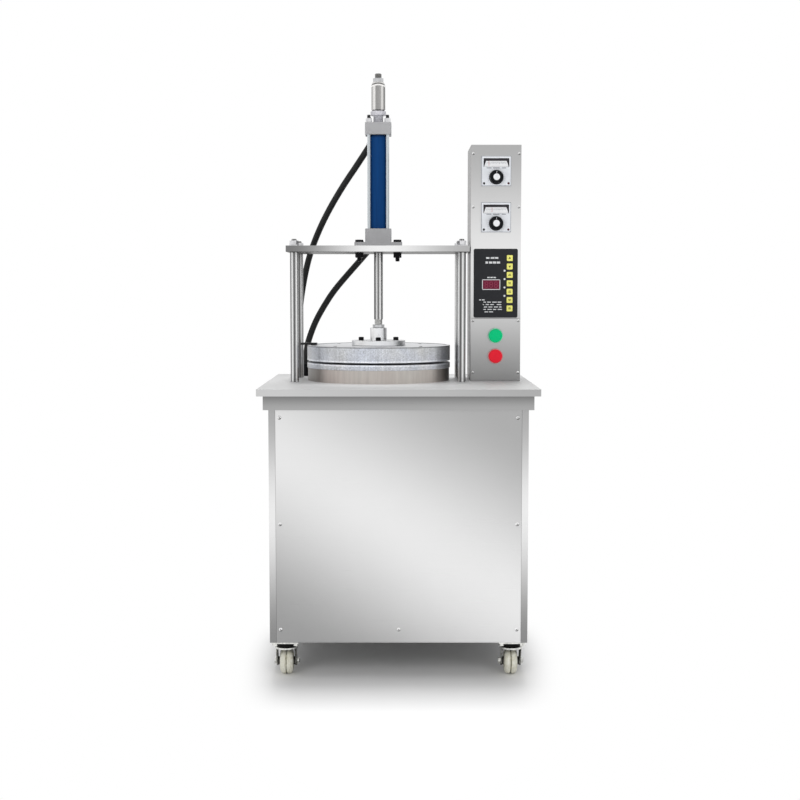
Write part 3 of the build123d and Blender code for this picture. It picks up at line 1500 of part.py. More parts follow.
# Motor with fins, fan cover and terminal box, and the gear pump under the lid
shaft_bore = motor_shaft / 2 + running_fit
with BuildPart() as motor_body:
    with BuildSketch(level(lid_top, motor_x, motor_y)):
        Circle(motor_flange_diameter / 2)
    extrude(amount=motor_flange_thickness)
    with BuildSketch(level(motor_bottom, motor_x, motor_y)):
        Circle(motor_diameter / 2)
    extrude(amount=motor_height)
    with BuildSketch(level(motor_bottom + fin_margin, motor_x, motor_y)):
        with PolarLocations(motor_diameter / 2, fin_count):
            Rectangle(2 * fin_height, fin_thickness)
    extrude(amount=motor_height - 2 * fin_margin)
    with BuildSketch(level(lid_top, motor_x, motor_y)):
        Circle(shaft_bore)
    extrude(amount=motor_top - lid_top, mode=Mode.SUBTRACT)
with BuildPart() as fan_cover:
    with BuildSketch(level(motor_top, motor_x, motor_y)):
        Circle(fan_cover_diameter / 2)
    extrude(amount=fan_cover_height)
    with BuildSketch(level(motor_top, motor_x, motor_y)):
        Circle(fan_cover_diameter / 2 - fan_cover_wall)
    extrude(amount=fan_cover_height - fan_cover_wall, mode=Mode.SUBTRACT)
    with BuildSketch(level(motor_top, motor_x, motor_y)):
        Circle(fan_cover_diameter / 2)
        Circle(motor_diameter / 2, mode=Mode.SUBTRACT)
    extrude(amount=fan_cover_wall)
    with BuildSketch(level(motor_top + fan_cover_height, motor_x, motor_y)):
        with PolarLocations(fan_slot_radius, fan_slot_count):
            SlotOverall(fan_slot_length, fan_slot_width)
    extrude(amount=-fan_cover_wall, mode=Mode.SUBTRACT)
with BuildPart() as motor_terminals:
    box_start = motor_diameter / 2 + fin_height
    with Locations((motor_x + box_start, motor_y, motor_bottom + motor_height / 2)):
        Box(*terminal_box, align=(Align.MIN, Align.CENTER, Align.CENTER))
with BuildPart() as gear_pump:
    with BuildSketch(level(tank_top - pump_size[2], motor_x, motor_y)):
        Rectangle(pump_size[0], pump_size[1])
    extrude(amount=pump_size[2])
    with BuildSketch(level(tank_top, motor_x, motor_y)):
        Circle(shaft_bore)
    extrude(amount=-shaft_below, mode=Mode.SUBTRACT)
save_group(
    [motor_body.part, fan_cover.part, motor_terminals.part, gear_pump.part], "pump_motor"
)

# Motor shaft with its fan
with BuildPart() as motor_fan:
    fan_level = motor_top + fan_clearance
    with BuildSketch(level(tank_top - shaft_below + panel_gap, motor_x, motor_y)):
        Circle(motor_shaft / 2)
    extrude(amount=fan_level + fan_disc + fan_blade_height - tank_top + shaft_below - panel_gap)
    with BuildSketch(level(fan_level, motor_x, motor_y)):
        Circle(fan_diameter / 2)
    extrude(amount=fan_disc)
    with BuildSketch(level(fan_level + fan_disc, motor_x, motor_y)):
        with PolarLocations(fan_diameter / 3, fan_blades):
            Rectangle(fan_diameter / 4, fan_blade_thickness)
    extrude(amount=fan_blade_height)
save(motor_fan.part, "motor_fan")

# Valve block with its solenoid, and the pipes up to the bulkheads
with BuildPart() as valve_body:
    with BuildSketch(level(lid_top, valve_x, valve_y)):
        RectangleRounded(valve_size[0], valve_size[1], table_corner)
    extrude(amount=valve_size[2])
with BuildPart() as valve_coil:
    with BuildSketch(facing_front(valve_y - valve_size[1] / 2, valve_x, lid_top + valve_size[2] / 2)):
        Circle(coil_diameter / 2)
    extrude(amount=coil_length)
with BuildPart() as pipes:
    with BuildSketch(level(lid_top + valve_size[2], 0, 0)):
        with Locations(*bulkhead_places):
            Circle(pipe_diameter / 2)
    extrude(amount=table_height - bulkhead_below - lid_top - valve_size[2])
save_group([valve_body.part, valve_coil.part, pipes.part], "valve_block")
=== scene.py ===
"""Looks of a heated platen press on a steel cabinet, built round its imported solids."""

import math
from functools import cache

import bmesh
import bpy
from bpy.props import FloatProperty, FloatVectorProperty, IntProperty, PointerProperty
from mathutils import Matrix, Vector


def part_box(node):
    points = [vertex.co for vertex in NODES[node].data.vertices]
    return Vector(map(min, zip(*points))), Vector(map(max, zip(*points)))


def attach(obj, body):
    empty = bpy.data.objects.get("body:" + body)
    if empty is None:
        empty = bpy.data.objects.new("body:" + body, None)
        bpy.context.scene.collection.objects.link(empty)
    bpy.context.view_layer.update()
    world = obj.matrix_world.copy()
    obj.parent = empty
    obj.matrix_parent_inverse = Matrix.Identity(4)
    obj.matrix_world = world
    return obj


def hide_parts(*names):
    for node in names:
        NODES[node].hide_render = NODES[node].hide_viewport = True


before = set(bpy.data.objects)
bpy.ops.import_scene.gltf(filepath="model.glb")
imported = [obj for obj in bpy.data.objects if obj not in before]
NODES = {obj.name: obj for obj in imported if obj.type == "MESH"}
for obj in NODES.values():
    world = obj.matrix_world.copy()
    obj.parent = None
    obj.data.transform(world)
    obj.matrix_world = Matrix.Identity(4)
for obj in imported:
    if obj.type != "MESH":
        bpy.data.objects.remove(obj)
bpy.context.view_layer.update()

bl_info = {
    "name": "Platen Press Looks",
    "version": (1, 0, 0),
    "blender": (4, 5, 0),
    "location": "View3D > Sidebar > Press",
    "description": "Finishes, hoses, controls and studio of a heated platen press",
    "category": "Object",
}


def top(node):
    """The height of a node's highest point."""
    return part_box(node)[1].z


def from_axis(point):
    """How far a point is from the upright axis of the press."""
    return math.hypot(point.x - PRESS_X, point.y - PRESS_Y)


# Values used throughout
MM = 0.001
WHITE = (1.0, 1.0, 1.0, 1.0)
ACROSS, UP, SLANT = (1.0, 0.0, 0.0), (0.0, 0.0, 1.0), (0.51, 0.0, 0.86)
CORNERS = [(x, y) for x in (-1, 1) for y in (-1, 1)]
SAME_LEVEL, HAIR = 0.0002, 1e-5
MERGE_DISTANCE = 1e-6

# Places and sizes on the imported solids
PRESS_X, PRESS_Y = -0.050, 0.058
COLUMN_SPREAD = (0.202, 0.085)
TIE_SPREAD = (0.0227, 0.0227)
FLANGE_SPREAD = (0.047, 0.020)
SLEEVE_TOP, TIE_TOP = top("adjuster_sleeve"), top("tie_rods")
UPPER_LOW, UPPER_TOP = (corner.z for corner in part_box("upper_platen"))
LOWER_TOP = top("lower_platen")
TOWER_X = sum(corner.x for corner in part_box("control_panel")) / 2
PANEL_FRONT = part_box("control_panel")[0].y
BEZEL_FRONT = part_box("dial_controllers")[0].y
CONTROLLER_LEVELS = (1.1766, 1.0656)
KNOB_DROP = 0.015
KEYPAD_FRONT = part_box("keypad_plate")[0].y + 0.8 * MM
KEYPAD_LEVEL = sum(corner.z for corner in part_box("keypad_plate")) / 2
CASTER_X, CASTER_Y = 0.260, 0.228
LEG_INNER, LEG_OUTER, LEG_BAND = 0.0200, 0.0235, 0.0006
CROWN_TALL, CROWN_SHADE = 0.0052, 0.002
RACE_RADIUS, RACE_GAP_SHADE = 0.0225, (0.0772, 0.0784)
WHEEL_GROOVE, WHEEL_SHOULDER_SHADE = (0.0007, 0.0016), (0.0152, 0.0158)

# Routes of the hoses in millimetres
UPPER_ROUTE = (
    (-72.9, 121.3, 1249.1), (-102.0, 133.0, 1206.0), (-134.0, 149.0, 1162.0), (-163.0, 168.0, 1118.0),
    (-189.0, 182.0, 1073.0), (-211.0, 197.0, 1028.0), (-231.0, 212.0, 977.0), (-246.0, 222.0, 915.0),
    (-257.0, 226.0, 845.0), (-262.0, 226.0, 770.0), (-262.0, 226.0, 700.0),
)
LOWER_ROUTE = (
    (-50.0, 128.0, 1023.0), (-50.0, 166.0, 1023.0), (-59.7, 201.1, 1012.2), (-77.6, 228.0, 992.2),
    (-102.3, 243.3, 964.7), (-137.0, 246.0, 926.0), (-170.0, 243.0, 887.0), (-195.0, 237.0, 848.0),
    (-216.0, 230.0, 810.0), (-231.0, 222.0, 771.0), (-240.0, 211.0, 736.0), (-240.0, 211.0, 700.0),
)

# Cover screws: the dome's outline as shares of its radius and height
SCREW_REACH = 0.030
SCREW_TALL = 0.6
SLOT_LONG, SLOT_WIDE, SLOT_SUNK = 0.9, 0.2, 0.00012
SCREW_DOME = (
    (0.0, 0.0), (1.0, 0.0), (1.0, 0.12), (0.95, 0.4), (0.84, 0.66),
    (0.68, 0.84), (0.46, 0.95), (0.24, 1.0), (0.0, 1.0),
)

# Dial controllers, with outlines as pairs of a radius and a height
PRINT_DEPTH, PRINT_PROUD = 0.0003, 0.00005
TICK_WIDTH = 0.0004
SCALE_PLATE, SCALE_RUN, SCALE_TAPER = (0.0596, 0.0006, 0.0148), 0.046, 0.84
SCALE_SUNK, SCALE_RISE, SCALE_SLOPE = 0.0026, 0.0172, math.radians(-14)
SCALE_TICK_LONG, SCALE_TICK_SHORT = 0.0040, 0.0022
SCALE_TICK_TOP, SCALE_TICK_PROUD = 0.0035, 0.00035
NEEDLE, NEEDLE_START, NEEDLE_STEP = (0.0006, PRINT_DEPTH, 0.0115), -0.018, 0.008
NEEDLE_PROUD, NEEDLE_RISE = 0.0006, 0.0008
WINDOW_RISE, WINDOW_HALF_WIDE, WINDOW_HALF_TALL = 0.020, 0.0312, 0.0106
BEZEL_BARS = ((-0.0175, 0.012), (0.0, 0.016), (0.0185, 0.010))
BEZEL_BAR_RISE, BEZEL_BAR_TALL = 0.0072, 0.0016
DIAL_RADIUS, DIAL_SWEEP = 0.0188, math.radians(280)
DIAL_TICK_LONG, DIAL_TICK_SHORT = 0.0022, 0.0013
BORDER_REACH, BORDER_SHADE_LINE, BORDER_INSIDE = 0.0352, 0.0008, 0.034
DOT_REACH = 0.0297
DOT_DOME = (
    (0.0, -0.0006), (0.0028, -0.0006), (0.0028, 0.0002),
    (0.0020, 0.0010), (0.0010, 0.0013), (0.0, 0.0014),
)
KNOB_RADIUS, FLUTE_SHARE, KNOB_TAPER = 0.0165, 0.955, 0.97
KNOB_SKIRT = ((0.0, 0.0), (0.0175, 0.0), (0.0175, 0.0016), (0.0170, 0.0024), (0.0, 0.0024))
KNOB_COVER = ((0.0, 0.0), (0.0086, 0.0), (0.0086, 0.0010), (0.0078, 0.0016), (0.0060, 0.0018), (0.0, 0.0018))
KNOB_SHAFT = ((0.0, -0.014), (0.003, -0.014), (0.003, 0.001), (0.0, 0.001))
KNOB_GAP, GRIP_BACK, COVER_SUNK = 0.0003, 0.0020, 0.0016
FACE_RIM, FACE_RISE, FACE_DISH, DISH_SUNK = 0.0020, 0.0008, 0.0056, 0.0006
MARK, MARK_PROUD, MARK_REACH = (0.0008, 0.0006, 0.0044), 0.0003, 0.0115

# Keypad, measured from the middle of its film
DISPLAY_X, DISPLAY_Z = -0.011, -0.0033
DISPLAY_HALF_WIDE, DISPLAY_HALF_TALL, DISPLAY_SUNK = 0.0216, 0.0121, 0.0018
DISPLAY_FRAME, FRAME_LINE, FRAME_POST = (0.0424, 0.0236), 0.0016, 0.0240
FILM_BACK, FRAME_PROUD = 0.0032, 0.0003
DIGIT_STEP, DIGIT_WIDE, DIGIT_TALL = 0.0115, 0.0066, 0.0130
SEGMENT, SEGMENT_GAP = 0.0014, 0.0016
LAMP_X, LAMP_STEP, LAMP_RADIUS = 0.0214, 0.02033, 0.0026
KEYS, ARROW_KEYS, ARROW_RADIUS = 7, 2, 0.0034
KEY_BARS, KEY_BAR_RISE, KEY_BAR_TALL = (0.0068, 0.0052), 0.0014, 0.0015
# Rows of plain bars: the row's height, a bar's height, and the start and width of each bar
FILM_BARS = (
    (0.0613, 0.0040, ((-0.0235, 0.008), (-0.0125, 0.009), (-0.002, 0.008))),
    (0.0502, 0.0050, ((-0.0250, 0.006), (-0.0165, 0.008), (-0.0070, 0.008), (0.0025, 0.008))),
    (0.0140, 0.0028, ((-0.0205, 0.006), (-0.0130, 0.006), (-0.0055, 0.006))),
    (-0.0403, 0.0024, ((-0.0400, 0.005), (-0.0330, 0.006))),
    (-0.0458, 0.0022, ((-0.0295, 0.006), (-0.0205, 0.009), (-0.0080, 0.011), (0.0050, 0.009))),
    (-0.0517, 0.0022, ((-0.0310, 0.003), (-0.0240, 0.008), (-0.0130, 0.009), (0.0030, 0.011))),
    (-0.0576, 0.0022, ((-0.0285, 0.008), (-0.0175, 0.010), (-0.0040, 0.010), (0.0085, 0.006))),
    (-0.0635, 0.0022, ((-0.0295, 0.006), (-0.0195, 0.010), (-0.0065, 0.008), (0.0055, 0.010))),
    (-0.0694, 0.0022, ((-0.0270, 0.009), (-0.0160, 0.010))),
)


def tone(value):
    """A display grey from 0 to 255 as a linear value."""
    c = value / 255.0
    return c / 12.92 if c <= 0.04045 else ((c + 0.055) / 1.055) ** 2.4


def shade(red, green, blue):
    """A display colour from 0 to 255 as a linear colour."""
    return (tone(red), tone(green), tone(blue), 1.0)


def grey(value):
    return shade(value, value, value)


# Settings that a user would change


def color_setting(name, description, *display):
    """A colour, given by its display values."""
    color = shade(*display)
    return FloatVectorProperty(name=name, description=description, subtype="COLOR", size=4, default=color)


def length_setting(name, description, default):
    """A length in metres."""
    return FloatProperty(
        name=name, description=description, subtype="DISTANCE", unit="LENGTH", default=default
    )


class PressFinish(bpy.types.PropertyGroup):
    barrel_blue: color_setting("Barrel", "Paint of the cylinder barrel", 16, 64, 120)
    block_grey: color_setting("Blocks", "Blasted cylinder blocks", 178, 178, 180)
    start_green: color_setting("Start", "Cap of the start button", 4, 213, 136)
    stop_red: color_setting("Stop", "Cap of the stop button", 255, 40, 60)
    key_yellow: color_setting("Keys", "Keys of the keypad", 250, 246, 132)
    film_black: color_setting("Keypad film", "Dark film of the keypad", 47, 48, 51)
    wheel_cream: color_setting("Wheels", "Nylon of the wheels", 252, 251, 240)
    hose_black: color_setting("Hoses", "Rubber of the hoses", 33, 34, 34)


class PressHoses(bpy.types.PropertyGroup):
    diameter: length_setting("Diameter", "Outside of a hose", 0.016)
    upper_length: length_setting("Upper length", "Length of the upper hose", 0.609)
    lower_length: length_setting("Lower length", "Length of the lower hose", 0.462)


class PressControls(bpy.types.PropertyGroup):
    grip_flutes: IntProperty(name="Flutes", description="Flutes round a knob", default=30, min=8, max=60)
    dial_ticks: IntProperty(name="Dial ticks", description="Ticks round a knob", default=21, min=5, max=61)
    scale_ticks: IntProperty(
        name="Scale ticks", description="Ticks on a scale plate", default=25, min=5, max=61
    )


class PressStudio(bpy.types.PropertyGroup):
    camera_place: FloatVectorProperty(
        name="Camera",
        description="Where the camera stands",
        subtype="XYZ",
        unit="LENGTH",
        default=(0.0032, -3.418, 0.8898),
    )
    camera_pitch: FloatProperty(
        name="Pitch", description="How far the camera looks down", subtype="ANGLE", default=math.radians(4.49)
    )
    camera_lens: FloatProperty(name="Lens", description="Focal length in millimetres", default=63.0)
    sky_strength: FloatProperty(name="Sky", description="Strength of the broad light overhead", default=0.75)
    key_power: FloatProperty(
        name="Long lamp", description="Power of the long lamp overhead", unit="POWER", default=4900.0
    )
    fill_power: FloatProperty(
        name="Front lamps", description="Power of the two front lamps together", unit="POWER", default=58.0
    )
    room_light: FloatProperty(
        name="Room light", description="Strength of the room's soft light", default=0.22
    )


# Shader nodes


class Nodes:
    """A node tree in the making. A value given to a node is a socket or a constant."""

    def __init__(self, tree):
        self.tree = tree

    def feed(self, target, value):
        if isinstance(value, bpy.types.NodeSocket):
            self.tree.links.new(value, target)
        else:
            target.default_value = value

    def node(self, kind, inputs=None, **settings):
        """A new node with its settings, and with inputs by label or by number."""
        node = self.tree.nodes.new("ShaderNode" + kind)
        for label, value in settings.items():
            setattr(node, label, value)
        for label, value in (inputs or {}).items():
            self.feed(node.inputs[label], value)
        return node

    def math(self, operation, *values):
        return self.node("Math", dict(enumerate(values)), operation=operation).outputs[0]

    def times(self, value, *factors):
        for factor in factors:
            value = self.math("MULTIPLY", value, factor)
        return value

    def vector(self, operation, *values, out="Vector"):
        return self.node("VectorMath", dict(enumerate(values)), operation=operation).outputs[out]

    def split(self, vector):
        return self.node("SeparateXYZ", {0: vector}).outputs

    def place(self):
        """Where a point is in the shared frame, with its piece at rest."""
        return self.node("TexCoord").outputs["Object"]

    def height(self):
        return self.split(self.place())["Z"]

    def mapped(self, value, low, high, out_low, out_high, smooth=False):
        """A value taken from one range to another."""
        limits = {"Value": value, "From Min": low, "From Max": high, "To Min": out_low, "To Max": out_high}
        curve = "SMOOTHSTEP" if smooth else "LINEAR"
        return self.node("MapRange", limits, interpolation_type=curve).outputs["Result"]

    def spread(self, grain, low, high):
        """The usual range of a noise, taken to a range of tones."""
        return self.mapped(grain, 0.3, 0.7, low, high)

    def noise(self, vector, scale, detail, roughness=0.55):
        values = {"Vector": vector, "Scale": scale, "Detail": detail, "Roughness": roughness}
        return self.node("TexNoise", values).outputs["Fac"]

    def bumped(self, height, strength, distance):
        values = {"Height": height, "Strength": strength, "Distance": distance}
        return self.node("Bump", values).outputs["Normal"]


class Effect(Nodes):
    """A node group in the making, given its inputs with their defaults and the names of its outputs."""

    def __init__(self, name, inputs, outputs):
        super().__init__(bpy.data.node_groups.new(name, "ShaderNodeTree"))
        for label, default in inputs.items():
            kind = "NodeSocketVector" if isinstance(default, tuple) else "NodeSocketFloat"
            socket = self.tree.interface.new_socket(label, in_out="INPUT", socket_type=kind)
            socket.default_value = default
        for label in outputs:
            kind = "NodeSocketVector" if label == "Normal" else "NodeSocketFloat"
            self.tree.interface.new_socket(label, in_out="OUTPUT", socket_type=kind)
        self.given = self.tree.nodes.new("NodeGroupInput").outputs
        self.ends = self.tree.nodes.new("NodeGroupOutput").inputs

    def done(self, **sockets):
        for label, socket in sockets.items():
            self.feed(self.ends[label], socket)
        return self.tree


# Effects that several finishes share, each built the first time that it is asked for


@cache
def grain_streaks():
    """Fine grain that is stretched along one way, as on brushed or drawn metal."""
    effect = Effect("Grain streaks", {"Stretch": (3.0, 3.0, 600.0), "Depth": 0.05}, ("Streak", "Normal"))
    spot = effect.vector("MULTIPLY", effect.place(), effect.given["Stretch"])
    grain = effect.noise(spot, 1.0, 4.0, 0.65)
    return effect.done(Streak=grain, Normal=effect.bumped(grain, effect.given["Depth"], 0.0002))


@cache
def sheen_band():
    """A soft band of painted light where a value runs from low to high: a painted sheen at its middle and
    painted shade on both sides of it.
    """
    labels = ("Where", "Low", "Middle", "High", "Low Tone", "Middle Tone", "High Tone")
    effect = Effect("Sheen band", dict.fromkeys(labels, 0.5), ("Tone",))
    spot = effect.given
    rise = effect.mapped(spot["Where"], spot["Low"], spot["Middle"], 0.0, 1.0, True)
    fall = effect.mapped(spot["Where"], spot["Middle"], spot["High"], 0.0, 1.0, True)
    lower = effect.mapped(rise, 0.0, 1.0, spot["Low Tone"], spot["Middle Tone"])
    return effect.done(Tone=effect.mapped(fall, 0.0, 1.0, lower, spot["High Tone"]))


@cache
def round_side():
    """How far the side of an upright round piece faces away from the front or the back."""
    effect = Effect("Round side", {}, ("Side", "Lean"))
    facing = effect.node("NewGeometry").outputs["Normal"]
    level = effect.vector("NORMALIZE", effect.vector("MULTIPLY", facing, (1.0, 1.0, 0.0)))
    lean = effect.split(level)["X"]
    return effect.done(Side=effect.math("ABSOLUTE", lean), Lean=lean)


@cache
def cloudy_tone():
    """Slow uneven tone, as on cast, rolled or handled surfaces."""
    effect = Effect("Cloudy tone", {"Size": 8.0, "Low": 0.9, "High": 1.0}, ("Tone",))
    cloud = effect.noise(effect.place(), effect.given["Size"], 4.0)
    return effect.done(Tone=effect.spread(cloud, effect.given["Low"], effect.given["High"]))


@cache
def turned_rings():
    """Rings left by a lathe, about an upright axis."""
    inputs = {"Centre": (PRESS_X, PRESS_Y, 0.0), "Rate": 900.0, "Depth": 0.1}
    effect = Effect("Turned rings", inputs, ("Ring", "Normal"))
    offset = effect.vector("SUBTRACT", effect.place(), effect.given["Centre"])
    radius = effect.vector("LENGTH", effect.vector("MULTIPLY", offset, (1.0, 1.0, 0.0)), out="Value")
    across = effect.times(radius, effect.given["Rate"])
    along = effect.times(effect.split(offset)["Z"], effect.given["Rate"])
    ring = effect.noise(effect.node("CombineXYZ", {"X": across, "Y": along}).outputs[0], 1.0, 3.0)
    return effect.done(Ring=ring, Normal=effect.bumped(ring, effect.given["Depth"], 0.0002))


@cache
def pebbled_skin():
    """Small even roughness of blasted metal or moulded plastic."""
    effect = Effect("Pebbled skin", {"Size": 900.0, "Depth": 0.2}, ("Grain", "Normal"))
    grain = effect.noise(effect.place(), effect.given["Size"], 2.0)
    return effect.done(Grain=grain, Normal=effect.bumped(grain, effect.given["Depth"], 0.0003))


# Makers of finishes

# How far the ring of painted light round the press reaches
PAINTED_LIGHT_REACH = (0.18, 0.33)
RING_EDGE = 0.0006


class Finish(Nodes):
    """A material in the making, with its Principled shader at hand."""

    def __init__(self, name, color, metallic, rough, shine=0.5):
        self.material = bpy.data.materials.new(name)
        self.material.use_nodes = True
        self.material.diffuse_color = color
        super().__init__(self.material.node_tree)
        self.shader = self.tree.nodes["Principled BSDF"]
        self.link("Base Color", color)
        self.link("Metallic", metallic)
        self.link("Roughness", rough)
        self.link("Specular IOR Level", shine)

    def link(self, label, value):
        self.feed(self.shader.inputs[label], value)

    def group(self, effect, **values):
        """The outputs of a shared effect, placed with this finish's own values."""
        node = self.node("Group", node_tree=effect())
        for label, value in values.items():
            self.feed(node.inputs[label], value)
        return node.outputs

    def streaks(self, stretch, depth):
        return self.group(grain_streaks, Stretch=stretch, Depth=depth)

    def pebbles(self, size, depth):
        return self.group(pebbled_skin, Size=size, Depth=depth)

    def cloud(self, size, low, high):
        return self.group(cloudy_tone, Size=size, Low=low, High=high)["Tone"]

    def band(self, where, stops, tones):
        """A band of painted light and shade along a value, given by its three stops and display tones."""
        values = {"Where": where}
        for label, stop, value in zip(("Low", "Middle", "High"), stops, tones):
            values[label] = stop
            values[label + " Tone"] = tone(value)
        return self.group(sheen_band, **values)["Tone"]

    def ramp(self, where, stops):
        """Tones along a value from -1 to 1, as pairs of a value and a display tone."""
        node = self.node("ValToRGB", {"Fac": self.mapped(where, -1.0, 1.0, 0.0, 1.0)})
        line = node.color_ramp.elements
        line.remove(line[1])
        line[0].position = (stops[0][0] + 1) / 2
        for spot, _ in stops[1:]:
            line.new((spot + 1) / 2)
        for item, (_, value) in zip(line, stops):
            item.color = grey(value)
        return node.outputs["Color"]

    def between(self, mask, low, high):
        """A colour that runs from low to high with a mask."""
        node = self.node("Mix", {"Factor": mask}, data_type="RGBA")
        for label, value in (("A", low), ("B", high)):
            self.feed(next(s for s in node.inputs if s.name == label and s.type == "RGBA"), value)
        return next(s for s in node.outputs if s.type == "RGBA")

    def paint(self, value, color=WHITE):
        """Sets the base colour to a colour scaled by a tone."""
        inputs = {0: color[:3] if isinstance(color, tuple) else color, "Scale": value}
        self.link("Base Color", self.node("VectorMath", inputs, operation="SCALE").outputs["Vector"])

    def rough(self, mask, limits):
        self.link("Roughness", self.mapped(mask, 0.25, 0.75, *limits))

    def skin(self, grain, limits):
        """Takes the roughness and the fine relief from the outputs of a grain effect."""
        self.rough(grain[0], limits)
        self.link("Normal", grain["Normal"])


def color_of(color):
    """A linear colour, from display values or from the setting of that name."""
    if isinstance(color, str):
        return tuple(getattr(bpy.context.scene.press_finish, color))
    return shade(*color)


def satin_sheet(
    name, way, stops, tones, grain=(3.0, 3.0, 700.0), rough=(0.26, 0.38), metallic=1.0, depth=0.02, painted_light_ring=None
):
    """Satin stainless sheet with a painted sheen band and fine brushing, and if asked a ring of painted light
    round the press that offsets the shade it casts on the table.
    """
    finish = Finish(name, grey(tones[1]), metallic, 0.3)
    # Painted light: the band is a sheen, lightest at its middle stop, with painted shade towards its ends.
    band = finish.band(finish.vector("DOT_PRODUCT", finish.place(), way, out="Value"), stops, tones)
    streaks = finish.streaks(grain, depth)
    mixed = finish.times(band, finish.spread(streaks["Streak"], 0.99, 1.01), finish.cloud(5.0, 0.985, 1.01))
    # Painted light round the foot of the press, lifting the shade that it casts on the table.
    if painted_light_ring:
        offset = finish.vector("SUBTRACT", finish.place(), (PRESS_X, PRESS_Y, top("table_top")))
        away = finish.vector("LENGTH", offset, out="Value")
        mixed = finish.times(mixed, finish.mapped(away, *PAINTED_LIGHT_REACH, painted_light_ring, 1.0, True))
    finish.paint(mixed)
    finish.skin(streaks, rough)
    return finish.material


def polished_bar(name, lines, rough, tint=WHITE, rings=(), bow=0.0, slide=0.0):
    """Polished upright bar with painted reflections: light and dark lines along it by which way its side
    faces, and bowed rings of another tone if asked.
    """
    finish = Finish(name, grey(200), 0.7, sum(rough) / 2)
    side = finish.group(round_side)
    left_column = PRESS_X - COLUMN_SPREAD[0]
    shift = finish.math("MULTIPLY_ADD", finish.split(finish.place())["X"], slide, -left_column * slide)
    mixed = finish.ramp(finish.math("ADD", side["Lean"], shift), lines)
    drop = finish.times(finish.math("POWER", side["Side"], 2.0), bow)
    level = finish.math("ADD", finish.height(), drop)
    for low, value in rings:
        mixed = finish.mapped(level, low, low + RING_EDGE, mixed, tone(value))
    finish.paint(mixed, tint)
    finish.skin(finish.streaks((500.0, 500.0, 9.0), 0.003), rough)
    return finish.material


def moulded(
    name,
    color,
    rough,
    pebble=1200.0,
    depth=0.08,
    tones=(0.94, 1.03),
    shine=0.4,
    patch=60.0,
    metallic=0.0,
    grain=None,
):
    """Moulded skin on a slightly uneven colour, pebbled, or streaked where a grain is given."""
    color = color_of(color)
    finish = Finish(name, color, metallic, sum(rough) / 2, shine)
    finish.paint(finish.cloud(patch, *tones), color)
    finish.skin(finish.streaks(grain, depth) if grain else finish.pebbles(pebble, depth), rough)
    return finish.material


def plated(name, **row):
    """Bare or plated metal with cloudy tone and uneven gloss."""
    return moulded(name, pebble=700.0, shine=0.5, metallic=1.0, **row)


def sprayed(name, color):
    """Sprayed paint with slight orange peel."""
    return moulded(
        name, color, (0.25, 0.4), pebble=160.0, depth=0.02, tones=(0.93, 1.04), shine=0.5, patch=18.0
    )


def turned_metal(name, color, rough, rate=900.0, depth=0.12, tones=(0.86, 1.06), sides=None):
    """Lathe-turned metal with rings and slow mottling, and if asked, painted shade at its sides with painted
    light from the left.
    """
    color = color_of(color)
    finish = Finish(name, color, 1.0, sum(rough) / 2)
    rings = finish.group(turned_rings, Rate=rate, Depth=depth)
    mixed = finish.times(finish.spread(rings["Ring"], 0.95, 1.04), finish.cloud(22.0, *tones))
    if sides:
        side = finish.group(round_side)
        light_from_left = finish.mapped(side["Lean"], -1.0, 1.0, 1.1, 0.85)
        mixed = finish.times(mixed, finish.band(side["Side"], *sides), light_from_left)
    finish.paint(mixed, color)
    finish.skin(rings, rough)
    return finish.material


def platen_edge(name, color, lines):
    """Aluminium rim with upright milling streaks, worn specks, painted light and dark lines at its edges and
    painted shade at its ends.
    """
    color = color_of(color)
    finish = Finish(name, color, 0.5, 0.38)
    streaks = finish.streaks((150.0, 150.0, 5.0), 0.05)
    # Painted shade at both ends of the rim.
    ends = (
        (-1.0, 120), (-0.97, 226), (-0.75, 238), (-0.45, 250), (0.74, 255),
        (0.83, 240), (0.92, 214), (0.97, 214), (1.0, 120),
    )
    mixed = finish.times(
        finish.spread(streaks["Streak"], 0.84, 1.08),
        finish.cloud(30.0, 0.86, 1.08),
        finish.cloud(330.0, 0.66, 1.16),
        finish.ramp(finish.group(round_side)["Lean"], ends),
    )
    # Each line is a painted highlight or painted shade along an edge of the rim.
    for low, high, factor in lines:
        mixed = finish.times(mixed, finish.mapped(finish.height(), low, high, 1.0, factor, True))
    finish.paint(mixed, finish.between(finish.cloud(14.0, 0.0, 1.0), color, shade(220, 225, 236)))
    finish.skin(streaks, (0.28, 0.46))
    return finish.material


def heat_tinted(name):
    """Machined steel of the lower housing, with faint brown heat tints and painted shade at its ends."""
    finish = Finish(name, shade(184, 178, 172), 0.5, 0.36)
    streaks = finish.streaks((120.0, 120.0, 7.0), 0.03)
    color = finish.between(finish.cloud(7.0, 0.0, 1.0), shade(197, 185, 179), shade(206, 202, 196))
    # Painted shade at both ends of the housing.
    ends = (
        (-1.0, 150), (-0.84, 168), (-0.68, 242), (-0.5, 255),
        (0.0, 248), (0.72, 255), (0.87, 208), (0.96, 124),
    )
    painted_end_shade = finish.ramp(finish.group(round_side)["Lean"], ends)
    finish.paint(finish.times(finish.spread(streaks["Streak"], 0.88, 1.08), painted_end_shade), color)
    finish.skin(streaks, (0.28, 0.44))
    return finish.material


